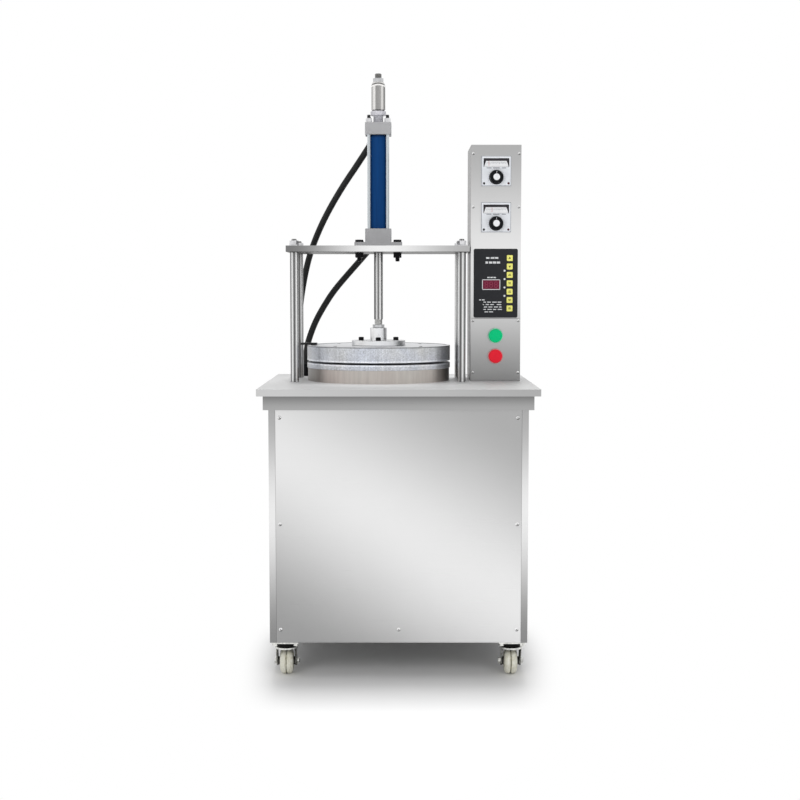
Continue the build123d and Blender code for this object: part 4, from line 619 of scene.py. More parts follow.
def barrel_paint(name):
    """Deep gloss blue, drawn lengthwise, with painted shade at its sides and a painted shadow under the cap.
    """
    color = color_of("barrel_blue")
    finish = Finish(name, color, 0.0, 0.3, 0.06)
    # Painted shade at the barrel's sides.
    edge = finish.band(finish.group(round_side)["Side"], (0.45, 0.75, 1.0), (255, 232, 190))
    barrel_top = top("cylinder_barrel")
    # A painted shadow under the overhanging cap.
    under = finish.mapped(finish.height(), barrel_top - 0.014, barrel_top - 0.003, 1.0, 0.12, True)
    streak = finish.streaks((260.0, 260.0, 4.0), 0.004)["Streak"]
    finish.paint(finish.times(edge, under, finish.spread(streak, 0.86, 1.12)), color)
    finish.rough(streak, (0.24, 0.36))
    return finish.material


def bright_screw(name):
    """Domed zinc screw head with a painted highlight on its upper side and painted shade on its lower side,
    as if lit from above and the left.
    """
    finish = Finish(name, shade(190, 190, 192), 1.0, 0.3)
    facing = finish.node("NewGeometry").outputs["Normal"]
    # Painted light: the band follows how far a face turns towards a light above and to the left.
    upward = finish.vector("DOT_PRODUCT", facing, (-0.35, 0.0, 0.94), out="Value")
    band = finish.band(upward, (-0.5, -0.06, 0.3), (10, 244, 255))
    finish.paint(finish.times(band, finish.cloud(300.0, 0.88, 1.08)))
    return finish.material


def race_zinc(name):
    """Plated swivel race, with painted shade in the gap above the crown."""
    finish = Finish(name, shade(196, 196, 192), 1.0, 0.3)
    # Painted shade in the gap between the race and the crown.
    gap = finish.mapped(finish.height(), *RACE_GAP_SHADE, 0.02, 1.0)
    finish.paint(finish.times(finish.cloud(120.0, 0.6, 1.05), gap), shade(206, 206, 202))
    finish.rough(finish.pebbles(700.0, 0.08)["Grain"], (0.2, 0.4))
    return finish.material


def hose_rubber(name):
    """Black rubber with the print of its cloth wrapping and a dusty bloom."""
    color = color_of("hose_black")
    finish = Finish(name, color, 0.0, 0.5, 0.22)
    values = {"Vector": finish.place(), "Scale": 150.0, "Distortion": 1.2, "Detail": 1.0}
    wrap = finish.node("TexWave", values, bands_direction="DIAGONAL").outputs["Fac"]
    finish.paint(finish.times(finish.mapped(wrap, 0.0, 1.0, 0.85, 1.2), finish.cloud(35.0, 0.75, 1.3)), color)
    finish.rough(wrap, (0.36, 0.5))
    finish.link("Normal", finish.bumped(wrap, 0.2, 0.0003))
    return finish.material


def wheel_nylon(name):
    """Pale nylon with a little floor dirt rubbed into its tread, darker spots along its groove, and painted
    shade on its shoulders, which sit between the fork legs.
    """
    color = color_of("wheel_cream")
    finish = Finish(name, color, 0.0, 0.45)
    worn = finish.between(finish.cloud(140.0, 0.0, 1.0), shade(226, 223, 202), color)
    off_centre = finish.math("ABSOLUTE", finish.split(finish.place())["X"])
    side = finish.math("ABSOLUTE", finish.math("SUBTRACT", off_centre, CASTER_X))
    groove = finish.mapped(side, *WHEEL_GROOVE, 1.0, 0.0, True)
    tread = finish.between(finish.times(groove, finish.cloud(230.0, 0.1, 1.0)), worn, shade(84, 80, 58))
    # Painted shade on the shoulders between the fork legs.
    shoulder_shade = finish.mapped(side, *WHEEL_SHOULDER_SHADE, 0.0, 1.0)
    finish.link("Base Color", finish.between(shoulder_shade, tread, shade(46, 44, 40)))
    finish.skin(finish.pebbles(500.0, 0.12), (0.35, 0.6))
    return finish.material


# Each finish by its name; a colour is display values or the name of a setting

CROSS_GRAIN = (5.0, 300.0, 500.0)
TABLE_STOPS = (-0.30, 0.0, 0.30)
CAP = dict(rough=(0.22, 0.32), pebble=300.0, depth=0.03, tones=(0.96, 1.04), shine=0.12)
RING = dict(rough=(0.3, 0.4), shine=0.3)
PRINT = dict(rough=(0.4, 0.5))

# Every sheet's band is painted light: a sheen lightest at its middle stop, with painted shade towards its
# ends.
SHEETS = {
    "front_sheet_steel": dict(way=SLANT, stops=(-0.045, 0.300, 0.640), tones=(160, 236, 178), depth=0.008),
    "side_sheet_steel": dict(way=UP, stops=(0.085, 0.385, 0.625), tones=(142, 240, 176)),
    "plain_sheet_steel": dict(way=UP, stops=(0.0, 0.40, 0.80), tones=(176, 214, 186)),
    "table_sheet_steel": dict(
        way=ACROSS,
        stops=TABLE_STOPS,
        tones=(199, 200, 204),
        grain=(600.0, 3.0, 3.0),
        rough=(0.42, 0.54),
        metallic=0.2,
        painted_light_ring=1.44,
    ),
    # Painted light along the table's front edge, lighter at the left and darker at the right.
    "table_edge_steel": dict(way=ACROSS, stops=TABLE_STOPS, tones=(209, 195, 181), rough=(0.34, 0.46)),
    # Painted shadow under the table's lip, darker towards the top of the frame tubes.
    "apron_tube_steel": dict(way=UP, stops=(0.600, 0.622, 0.656), tones=(172, 172, 130)),
    "tower_face_steel": dict(way=UP, stops=(0.668, 0.960, 1.250), tones=(153, 234, 182), depth=0.008),
    "tower_shell_steel": dict(way=UP, stops=(0.668, 0.960, 1.250), tones=(150, 214, 180)),
    # A darker copy for the tower's left side: painted shade.
    "tower_side_steel": dict(way=UP, stops=(0.668, 0.900, 1.240), tones=(88, 112, 116)),
    "ground_bridge_plate": dict(
        way=ACROSS,
        stops=(-0.270, -0.036, 0.175),
        tones=(126, 245, 182),
        grain=CROSS_GRAIN,
        rough=(0.26, 0.32),
        depth=0.003,
    ),
}
# Each bar's lines are painted reflections, lightest and darkest by which way its side faces.
BARS = {
    "ground_chrome": dict(
        lines=(
            (-1.0, 50), (-0.8, 110), (-0.42, 250), (-0.05, 92), (0.16, 96),
            (0.4, 190), (0.58, 255), (0.86, 160), (1.0, 120),
        ),
        rough=(0.16, 0.26),
        slide=0.84,
    ),
    "ram_chrome": dict(
        lines=(
            (-1.0, 40), (-0.75, 84), (-0.42, 240), (-0.1, 116),
            (0.08, 112), (0.36, 255), (0.62, 190), (1.0, 130),
        ),
        rough=(0.14, 0.22),
        rings=((SLEEVE_TOP, 116),),
    ),
    "bright_tie_bar": dict(
        lines=((-1.0, 230), (-0.3, 204), (0.4, 200), (1.0, 232)),
        rough=(0.16, 0.26),
        tint=(0.90, 0.96, 1.0, 1.0),
        rings=((TIE_TOP - 0.0092, 60),),
    ),
    "turned_sleeve": dict(
        lines=(
            (-1.0, 184), (-0.8, 190), (-0.64, 240), (-0.5, 240), (-0.3, 150),
            (0.33, 166), (0.52, 236), (0.66, 216), (0.82, 130),
        ),
        rough=(0.12, 0.22),
        tint=(1.0, 0.985, 0.965, 1.0),
        # A painted highlight line and a painted shade line where the sleeve's taper starts, lighter again
        # above them.
        rings=((SLEEVE_TOP - 0.0098, 252), (SLEEVE_TOP - 0.0062, 122), (SLEEVE_TOP - 0.0026, 226)),
        bow=0.003,
    ),
}
METALS = {
    # A dark copy for the bridge plate's underside: painted shade.
    "shaded_plate": dict(
        color=(40, 38, 36), rough=(0.3, 0.45), patch=9.0, tones=(0.85, 1.1), grain=CROSS_GRAIN, depth=0.05
    ),
    "zinc_plate": dict(color=(205, 206, 208), rough=(0.20, 0.36), patch=120.0, tones=(0.80, 1.05)),
    "nut_zinc": dict(color=(232, 232, 234), rough=(0.2, 0.34), patch=160.0, tones=(0.72, 1.06)),
    "pressed_zinc": dict(color=(236, 236, 232), rough=(0.16, 0.3), patch=150.0, tones=(0.5, 1.1), depth=0.12),
    # Darker copies for the fork: its legs in painted shade, and black painted shade under the crown and
    # inside the legs.
    "leg_zinc": dict(color=(132, 132, 128), rough=(0.2, 0.36), patch=220.0, tones=(0.2, 1.6), depth=0.16),
    "oiled_gap": dict(color=(24, 24, 20), rough=(0.45, 0.6), patch=120.0, tones=(0.6, 1.1), depth=0.1),
    "black_oxide": dict(color=(36, 36, 38), rough=(0.38, 0.55), patch=120.0, tones=(0.75, 1.15), depth=0.1),
    "oiled_thread": dict(color=(150, 148, 144), rough=(0.3, 0.5), patch=260.0, tones=(0.45, 1.2), depth=0.14),
    "cut_thread": dict(color=(214, 214, 212), rough=(0.25, 0.4), patch=260.0, tones=(0.6, 1.1), depth=0.14),
    # Dark stud ends, also used for the screw slots as painted shade.
    "dark_stud": dict(color=(92, 90, 88), rough=(0.3, 0.5), patch=260.0, tones=(0.5, 1.2), depth=0.14),
    "heater_sheath": dict(color=(110, 106, 100), rough=(0.4, 0.55), patch=60.0, tones=(0.7, 1.1), depth=0.1),
    "collar_chrome": dict(
        color=(216, 218, 220), rough=(0.10, 0.2), patch=80.0, tones=(0.95, 1.02), depth=0.03
    ),
}
TURNED = {
    "platen_top_aluminium": dict(color=(232, 233, 236), rough=(0.30, 0.46)),
    "hub_aluminium": dict(
        color=(252, 253, 255),
        rough=(0.34, 0.5),
        rate=1300.0,
        depth=0.08,
        tones=(0.98, 1.05),
        sides=((0.6, 0.84, 1.0), (255, 252, 214)),
    ),
}
# A painted shade line under the upper rim's top edge, and painted highlight lines at its lower edge and at
# the lower rim's top edge.
RIMS = {
    "upper_rim_aluminium": dict(
        color=(227, 228, 229),
        lines=((UPPER_TOP - 0.0034, UPPER_TOP - 0.0018, 0.45), (UPPER_LOW + 0.0055, UPPER_LOW + 0.0035, 1.5)),
    ),
    "lower_rim_aluminium": dict(
        color=(234, 234, 234), lines=((LOWER_TOP - 0.0046, LOWER_TOP - 0.0026, 1.5),)
    ),
}
PAINTS = {"tank_paint": dict(color=(120, 128, 136)), "motor_paint": dict(color=(84, 104, 128))}
MOULDINGS = {
    "blasted_block": dict(
        color="block_grey", rough=(0.45, 0.6), pebble=600.0, depth=0.12, tones=(0.95, 1.03)
    ),
    "bright_neck": dict(
        color=(196, 196, 202), rough=(0.4, 0.55), pebble=600.0, depth=0.1, tones=(0.95, 1.03)
    ),
    "bright_collar": dict(color=(224, 223, 230), rough=(0.35, 0.5), pebble=600.0, tones=(0.95, 1.02)),
    "terminal_block": dict(color=(38, 38, 40), rough=(0.4, 0.55), shine=0.3),
    "start_cap": dict(color="start_green", **CAP),
    "start_ring": dict(color=(150, 238, 200), **RING),
    "stop_cap": dict(color="stop_red", **CAP),
    "stop_ring": dict(color=(252, 150, 152), **RING),
    "key_cap": dict(color="key_yellow", rough=(0.35, 0.45), pebble=800.0, depth=0.06, shine=0.25),
    "key_print": dict(color=(58, 56, 20), **PRINT),
    "key_arrow_print": dict(color=(40, 38, 14), **PRINT),
    "keypad_film": dict(color="film_black", rough=(0.34, 0.46), pebble=1500.0, depth=0.05, shine=0.1),
    "film_print": dict(color=(224, 226, 228), **PRINT),
    "lamp_lens": dict(color=(236, 238, 240), rough=(0.2, 0.3), pebble=900.0, depth=0.03, tones=(0.97, 1.02)),
    "display_window": dict(
        color=(112, 30, 56), rough=(0.16, 0.26), pebble=900.0, depth=0.02, tones=(0.9, 1.05), shine=0.2
    ),
    "display_segments": dict(color=(150, 56, 82), rough=(0.3, 0.4), shine=0.2),
    "dial_case": dict(color=(240, 243, 248), rough=(0.3, 0.42), pebble=900.0, depth=0.05, tones=(0.95, 1.02)),
    # The sunk window's faces are dark: painted shade.
    "dial_recess": dict(color=(62, 60, 64), rough=(0.45, 0.6), shine=0.2),
    "scale_plate": dict(
        color=(252, 253, 255), rough=(0.4, 0.5), pebble=900.0, depth=0.02, tones=(0.98, 1.01)
    ),
    "scale_print": dict(color=(120, 124, 132), **PRINT),
    "scale_needle": dict(color=(190, 40, 44), rough=(0.3, 0.4)),
    "controller_case": dict(color=(70, 72, 76), rough=(0.4, 0.55)),
    "knob_grip": dict(
        color=(12, 13, 18), rough=(0.24, 0.34), pebble=700.0, depth=0.05, tones=(0.9, 1.1), shine=0.12
    ),
    "knob_cap": dict(color=(246, 247, 250), rough=(0.3, 0.4), pebble=900.0, depth=0.03, tones=(0.98, 1.01)),
    "pilot_lens": dict(
        color=(74, 20, 34), rough=(0.15, 0.25), pebble=900.0, depth=0.02, tones=(0.9, 1.05), shine=0.3
    ),
    "contact_block": dict(color=(60, 60, 62), rough=(0.45, 0.6)),
}
MAKERS = (
    (satin_sheet, SHEETS),
    (polished_bar, BARS),
    (plated, METALS),
    (turned_metal, TURNED),
    (platen_edge, RIMS),
    (sprayed, PAINTS),
    (moulded, MOULDINGS),
    (heat_tinted, {"heat_tinted_steel": {}}),
    (barrel_paint, {"barrel_paint": {}}),
    (bright_screw, {"bright_screw_head": {}}),
    (race_zinc, {"swivel_race": {}}),
    (hose_rubber, {"wrapped_hose_rubber": {}}),
    (wheel_nylon, {"cast_nylon": {}}),
)
FINISHES = {name: (maker, row) for maker, rows in MAKERS for name, row in rows.items()}


@cache
def finish_named(name):
    """A finish by its name, made once."""
    maker, row = FINISHES[name]
    return maker(name, **row)


# Putting finishes on solids and making meshes


def dress(node, *names, pick=None):
    """Gives a solid its finishes; pick turns a face centre and normal into a finish's number."""
    mesh = NODES[node].data
    mesh.materials.clear()
    for name in names:
        mesh.materials.append(finish_named(name))
    if pick:
        for face in mesh.polygons:
            face.material_index = pick(face.center, face.normal)


def dress_each(**looks):
    """Gives each solid one finish."""
    for node, name in looks.items():
        dress(node, name)


def piece(name, bm, body, *names, slot, smooth=None):
    """Turns a bmesh into a piece that rides on a body."""
    bmesh.ops.remove_doubles(bm, verts=bm.verts, dist=MERGE_DISTANCE)
    bmesh.ops.recalc_face_normals(bm, faces=bm.faces)
    mesh = bpy.data.meshes.new(name)
    bm.to_mesh(mesh)
    bm.free()
    if smooth is not None:
        mesh.shade_smooth()
        mesh.set_sharp_from_angle(angle=math.radians(smooth))
    for label in names:
        mesh.materials.append(finish_named(label))
    thing = bpy.data.objects.new(name, mesh)
    bpy.context.scene.collection.objects.link(thing)
    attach(thing, body)
    return thing


def block(bm, centre, size, turn=None, material=0):
    """A box in a bmesh, turned about its own centre."""
    made = bmesh.ops.create_cube(bm, size=1.0)["verts"]
    bmesh.ops.scale(bm, vec=size, verts=made)
    for face in {face for vert in made for face in vert.link_faces}:
        face.material_index = material
    matrix = Matrix.Translation(centre) @ (turn.to_4x4() if turn else Matrix.Identity(4))
    bmesh.ops.transform(bm, matrix=matrix, verts=made)
    return made


def lathe(bm, profile, centre, axis="-Y", steps=48, material=0):
    """Spins a closed profile of (radius, along) points round an axis through a centre."""
    verts = [bm.verts.new((radius, 0.0, along)) for radius, along in profile]
    edges = [bm.edges.new((verts[i], verts[(i + 1) % len(verts)])) for i in range(len(verts))]
    before = set(bm.faces)
    bmesh.ops.spin(
        bm, geom=verts + edges, cent=(0, 0, 0), axis=(0, 0, 1), angle=2 * math.pi, steps=steps, use_merge=True
    )
    faces = [face for face in bm.faces if face not in before]
    for face in faces:
        face.material_index = material
    points = list({vert for face in faces for vert in face.verts})
    turn = Matrix.Rotation(math.radians({"-Y": 90, "Y": -90}[axis]), 4, "X")
    bmesh.ops.transform(bm, matrix=Matrix.Translation(centre) @ turn, verts=points)


def thread(bm, centre, radius, low, high, pitch, steps):
    """A helical ridge on a round end that stands up."""
    turns = (high - low) / pitch
    deep, proud = radius - 0.0004, radius + 0.00035
    corners = ((deep, low), (proud, low + pitch * 0.5), (deep, low + pitch * 0.96))
    face = bm.faces.new([bm.verts.new((centre[0] + r, centre[1], z)) for r, z in corners])
    bmesh.ops.spin(
        bm,
        geom=[face],
        cent=(*centre, 0.0),
        axis=(0, 0, 1),
        dvec=(0, 0, pitch / steps),
        angle=2 * math.pi * (turns - 1),
        steps=int(steps * (turns - 1)),
    )


def threads(name, body, look, slot, radius, low, high, pitch, spread=None, steps=24):
    """A piece of thread on the axis of the press, or on four ends spread about it."""
    bm = bmesh.new()
    if spread:
        spots = [(PRESS_X + x * spread[0], PRESS_Y + y * spread[1]) for x, y in CORNERS]
    else:
        spots = [(PRESS_X, PRESS_Y)]
    for spot in spots:
        thread(bm, spot, radius, low, high, pitch, steps)
    piece(name, bm, body, look, slot=slot)


# Operators


class PRESS_OT_cabinet(bpy.types.Operator):
    """Finish the table, the cabinet panels, the frame and their screws"""

    bl_idname = "press.cabinet"
    bl_label = "Cabinet"

    def execute(self, context):
        dress(
            "table_top", "table_sheet_steel", "table_edge_steel", pick=lambda c, n: 0 if abs(n.z) > 0.5 else 1
        )
        dress_each(
            front_panel="front_sheet_steel",
            side_panels="side_sheet_steel",
            back_panel="plain_sheet_steel",
            floor_pan="plain_sheet_steel",
            frame_tubes="apron_tube_steel",
            bed_plate="ground_bridge_plate",
        )
        self.screw_heads()
        return {"FINISHED"}

    def screw_heads(self):
        """A domed head on each cover screw, with its crossed slot drawn as a flat dark cross: painted shade
        of the recess.
        """
        mesh = NODES["cover_screws"].data
        screws = []
        for face in mesh.polygons:
            points = next((group for group in screws if (group[0] - face.center).length < SCREW_REACH), None)
            if points is None:
                points = []
                screws.append(points)
            points.extend(mesh.vertices[i].co for i in face.vertices)
        bm = bmesh.new()
        for points in screws:
            low = Vector([min(point[i] for point in points) for i in range(3)])
            high = Vector([max(point[i] for point in points) for i in range(3)])
            middle, radius = (low + high) / 2, (high.x - low.x) / 2
            at_back = low.y > PRESS_Y
            outward, tip, axis = (1, high.y, "Y") if at_back else (-1, low.y, "-Y")
            tall = SCREW_TALL * radius
            dome = [(radius * share, tall * level) for share, level in SCREW_DOME]
            lathe(bm, dome, (middle.x, tip - outward * tall, middle.z), axis, 28)
            slot = (middle.x, tip - outward * SLOT_SUNK, middle.z)
            # The slot's dark cross is painted shade standing for its recess.
            for wide, upright in ((SLOT_LONG, SLOT_WIDE), (SLOT_WIDE, SLOT_LONG)):
                block(bm, slot, (radius * wide, PRINT_DEPTH, radius * upright), material=1)
        looks = ("bright_screw_head", "dark_stud")
        heads = piece("cover_screw_heads", bm, "machine", *looks, slot="zinc", smooth=50)
        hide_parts("cover_screws")


class PRESS_OT_columns(bpy.types.Operator):
    """Finish the columns, their nuts and the bridge plate"""

    bl_idname = "press.columns"
    bl_label = "Columns and bridge"

    def execute(self, context):
        stud_top = top("columns")
        stud_low = stud_top - 0.0046
        dress("columns", "ground_chrome", "dark_stud", pick=lambda c, n: 1 if c.z > stud_low else 0)
        # The bridge plate's underside gets painted shade.
        dress("bridge_plate", "ground_bridge_plate", "shaded_plate", pick=lambda c, n: 1 if n.z < -0.5 else 0)
        dress_each(column_nuts="nut_zinc")
        threads(
            "column_stud_threads",
            "machine",
            "dark_stud",
            "zinc",
            radius=0.006,
            low=stud_top - 0.0042,
            high=stud_top - 0.0008,
            pitch=0.00085,
            spread=COLUMN_SPREAD,
        )
        return {"FINISHED"}


class PRESS_OT_cylinder(bpy.types.Operator):
    """Finish the cylinder, its tie rods and its flange bolts"""

    bl_idname = "press.cylinder"
    bl_label = "Cylinder"

    def execute(self, context):
        collar_low = top("cylinder_cap") - 0.0105
        neck_low = top("cylinder_cap") - 0.029
        bolt_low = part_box("flange_bolts")[0].z
        dress_each(
            cylinder_head="blasted_block",
            cylinder_barrel="barrel_paint",
            flange_bolts="black_oxide",
            piston="zinc_plate",
        )

        def cap_part(centre, normal):
            if centre.z > collar_low:
                return 2
            return 1 if centre.z > neck_low + SAME_LEVEL else 0

        def rod_part(centre, normal):
            if centre.z < neck_low:
                return 0
            return 2 if centre.z > TIE_TOP - SAME_LEVEL else 1

        dress("cylinder_cap", "blasted_block", "bright_neck", "bright_collar", pick=cap_part)
        dress("tie_rods", "bright_tie_bar", "nut_zinc", "black_oxide", pick=rod_part)
        for name, radius, low, high, pitch, spread in (
            ("tie_rod_threads", 0.004, TIE_TOP - 0.0083, TIE_TOP - 0.0008, 0.00125, TIE_SPREAD),
            ("flange_bolt_threads", 0.005, bolt_low + 0.0008, bolt_low + 0.0088, 0.0015, FLANGE_SPREAD),
        ):
            threads(name, "machine", "black_oxide", "black_oxide", radius, low, high, pitch, spread)
        return {"FINISHED"}


class PRESS_OT_ram(bpy.types.Operator):
    """Finish the ram, both platens, the heaters and the stroke adjuster"""

    bl_idname = "press.ram"
    bl_label = "Ram and platens"

    def execute(self, context):
        nut_top, tail_top = top("ram_fasteners"), top("ram_rod")
        thread_top = nut_top + 0.0126
        cover_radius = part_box("upper_cover")[1].y - PRESS_Y + SAME_LEVEL
        cover_top = UPPER_TOP - SAME_LEVEL
        hub_top, hub_reach = top("platen_hub") - MM, 0.1
        dress_each(
            platen_hub="hub_aluminium",
            lower_housing="heat_tinted_steel",
            lower_heater="heater_sheath",
            upper_heater="heater_sheath",
            adjuster_sleeve="turned_sleeve",
        )
        dress("ram_rod", "ram_chrome", "cut_thread", pick=lambda c, n: 1 if c.z < thread_top else 0)
        for platen in ("upper", "lower"):
            looks = (platen + "_rim_aluminium", "platen_top_aluminium")
            dress(platen + "_platen", *looks, pick=lambda c, n: 1 if n.z > 0.85 else 0)
        dress(
            "upper_cover",
            "platen_top_aluminium",
            "terminal_block",
            pick=lambda c, n: 1 if c.z > cover_top or from_axis(c) > cover_radius else 0,
        )
        dress(
            "ram_fasteners",
            "black_oxide",
            "zinc_plate",
            pick=lambda c, n: 1 if c.z > hub_top or from_axis(c) > hub_reach else 0,
        )
        self.lock_nut()
        for name, look, radius, low, high, pitch in (
            ("rod_thread", "cut_thread", 0.0095, nut_top + 0.0004, nut_top + 0.0122, 0.0015),
            ("tail_thread", "oiled_thread", 0.0080, tail_top - 0.0103, tail_top - 0.0008, 0.0020),
        ):
            threads(name, "ram", look, "zinc", radius, low, high, pitch, steps=32)
        return {"FINISHED"}

    def lock_nut(self):
        """The adjuster's nut, with a bore that clears the crests of the thread it climbs."""
        bore_limit, bore_growth = 0.009, 1.072
        bm = bmesh.new()
        bm.from_mesh(NODES["adjuster_lock_nut"].data)
        bmesh.ops.remove_doubles(bm, verts=bm.verts, dist=MERGE_DISTANCE)
        bore = [vert for vert in bm.verts if from_axis(vert.co) < bore_limit]
        to_axis = Matrix.Translation((-PRESS_X, -PRESS_Y, 0.0))
        bmesh.ops.scale(bm, vec=(bore_growth, bore_growth, 1.0), space=to_axis, verts=bore)
        nut = piece("lock_nut_shape", bm, "adjuster_lock_nut", "zinc_plate", slot="zinc", smooth=30)
        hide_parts("adjuster_lock_nut")


class PRESS_OT_hoses(bpy.types.Operator):
    """Lay both hoses and finish their fittings"""

    bl_idname = "press.hoses"
    bl_label = "Hoses"

    def execute(self, context):
        sizes = context.scene.press_hoses
        table = top("table_top")
        dress("fittings", "zinc_plate", "black_oxide", pick=lambda c, n: 1 if table < c.z < UPPER_TOP else 0)
        for name, route, length in (
            ("upper_hose_line", UPPER_ROUTE, sizes.upper_length),
            ("lower_hose_line", LOWER_ROUTE, sizes.lower_length),
        ):
            curve = bpy.data.curves.new(name, "CURVE")
            curve.dimensions = "3D"
            spline = curve.splines.new("NURBS")
            spline.points.add(len(route) - 1)
            for point, spot in zip(spline.points, route):
                point.co = (*(value * MM for value in spot), 1.0)
            spline.order_u = 3
            spline.use_endpoint_u = True
            spline.resolution_u = 12
            curve.bevel_depth = sizes.diameter / 2
            curve.bevel_resolution = 8
            curve.use_fill_caps = True
            curve.materials.append(finish_named("wrapped_hose_rubber"))
            hose = bpy.data.objects.new(name, curve)
            context.scene.collection.objects.link(hose)
            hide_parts(name.replace("_line", ""))
            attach(hose, "machine")
        return {"FINISHED"}


class PRESS_OT_tower(bpy.types.Operator):
    """Finish the control tower, its dial controllers, keypad and buttons"""

    bl_idname = "press.tower"
    bl_label = "Control tower"

    def execute(self, context):
        between = (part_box("start_button")[0].z + top("stop_button")) / 2

        def collar_part(centre, normal):
            if centre.y > PANEL_FRONT + MM:
                return 2
            return 0 if centre.z > between else 1

        dress_each(control_panel="tower_face_steel", start_button="start_cap", stop_button="stop_cap")
        # The shell's left side gets a darker copy of its steel: painted shade.
        dress(
            "control_box", "tower_shell_steel", "tower_side_steel", pick=lambda c, n: 1 if n.x < -0.5 else 0
        )
        dress("button_collars", "start_ring", "stop_ring", "contact_block", pick=collar_part)
        dress("dial_controllers", "dial_case", "dial_recess", "controller_case", pick=self.controller_part)
        self.dials(context.scene.press_controls)
        looks = ("keypad_film", "display_window", "lamp_lens", "contact_block")
        dress("keypad_plate", *looks, pick=self.keypad_part)
        self.keypad()
        for number in range(1, KEYS + 1):
            self.key(number)
        return {"FINISHED"}

    def controller_part(self, centre, normal):
        """Case, sunk scale window in painted shade, or what lies behind the panel."""
        if centre.y > PANEL_FRONT + 0.5 * MM:
            return 2
        sunk = centre.y > BEZEL_FRONT + HAIR and abs(centre.x - TOWER_X) < WINDOW_HALF_WIDE
        away = min(abs(centre.z - level - WINDOW_RISE) for level in CONTROLLER_LEVELS)
        return 1 if sunk and away < WINDOW_HALF_TALL else 0

    def dials(self, controls):
        """Marks and knobs of both controllers."""
        bm = bmesh.new()
        for number, level in enumerate(CONTROLLER_LEVELS):
            self.scale(bm, level, NEEDLE_START + NEEDLE_STEP * number, controls.scale_ticks)
            self.bezel(bm, level, controls.dial_ticks)
        looks = ("scale_plate", "scale_print", "scale_needle", "pilot_lens", "knob_grip")
        piece("dial_markings", bm, "machine", *looks, slot="controller")
        for body, level in zip(("knob_upper", "knob_lower"), CONTROLLER_LEVELS):
            self.knob(body, level, controls.grip_flutes)

    def scale(self, bm, level, needle_x, ticks):
        """A sloping scale plate that narrows upward, with its ticks and needle."""
        slope = Matrix.Rotation(SCALE_SLOPE, 3, "X")
        middle = Vector((TOWER_X, BEZEL_FRONT + SCALE_SUNK, level + SCALE_RISE))
        for vert in block(bm, middle, SCALE_PLATE, slope):
            if vert.co.z > middle.z:
                vert.co.x = TOWER_X + (vert.co.x - TOWER_X) * SCALE_TAPER
        for i in range(ticks):
            share = i / (ticks - 1) - 0.5
            long = SCALE_TICK_LONG if i % 4 == 0 else SCALE_TICK_SHORT
            spot = middle + slope @ Vector((share * SCALE_RUN, -SCALE_TICK_PROUD, SCALE_TICK_TOP - long / 2))
            block(bm, spot, (TICK_WIDTH, PRINT_DEPTH, long), slope, 1)
        spot = middle + slope @ Vector((needle_x, -NEEDLE_PROUD, NEEDLE_RISE))
        block(bm, spot, NEEDLE, slope, 2)

    def bezel(self, bm, level, ticks):
        """Short bars under the scale, painted shade lines along the bezel's border, ticks round the knob and
        two corner dots.
        """
        for x, wide in BEZEL_BARS:
            spot = (TOWER_X + x, BEZEL_FRONT, level + BEZEL_BAR_RISE)
            block(bm, spot, (wide, PRINT_DEPTH, BEZEL_BAR_TALL), material=1)
        # Thin grey lines near the bezel's edges: painted shade of its border.
        wide, tall = 2 * BORDER_REACH + BORDER_SHADE_LINE, 2 * BORDER_REACH - BORDER_SHADE_LINE
        for side in (-1, 1):
            away = side * BORDER_REACH
            block(bm, (TOWER_X, BEZEL_FRONT, level + away), (wide, PRINT_DEPTH, BORDER_SHADE_LINE), material=1)
            block(bm, (TOWER_X + away, BEZEL_FRONT, level), (BORDER_SHADE_LINE, PRINT_DEPTH, tall), material=1)
        knob = Vector((TOWER_X, BEZEL_FRONT, level - KNOB_DROP))
        for i in range(ticks):
            turn = Matrix.Rotation(DIAL_SWEEP * (i / (ticks - 1) - 0.5), 3, "Y")
            long = DIAL_TICK_LONG if i % 5 == 0 else DIAL_TICK_SHORT
            spot = knob + turn @ Vector((0.0, -PRINT_PROUD, DIAL_RADIUS + long / 2))
            if abs(spot.z - level) < BORDER_INSIDE:
                block(bm, spot, (TICK_WIDTH, PRINT_DEPTH, long), turn, 1)
        for side, material in ((-1, 4), (1, 3)):
            spot = (TOWER_X + side * DOT_REACH, BEZEL_FRONT + SAME_LEVEL, level - DOT_REACH)
            lathe(bm, DOT_DOME, spot, steps=20, material=material)

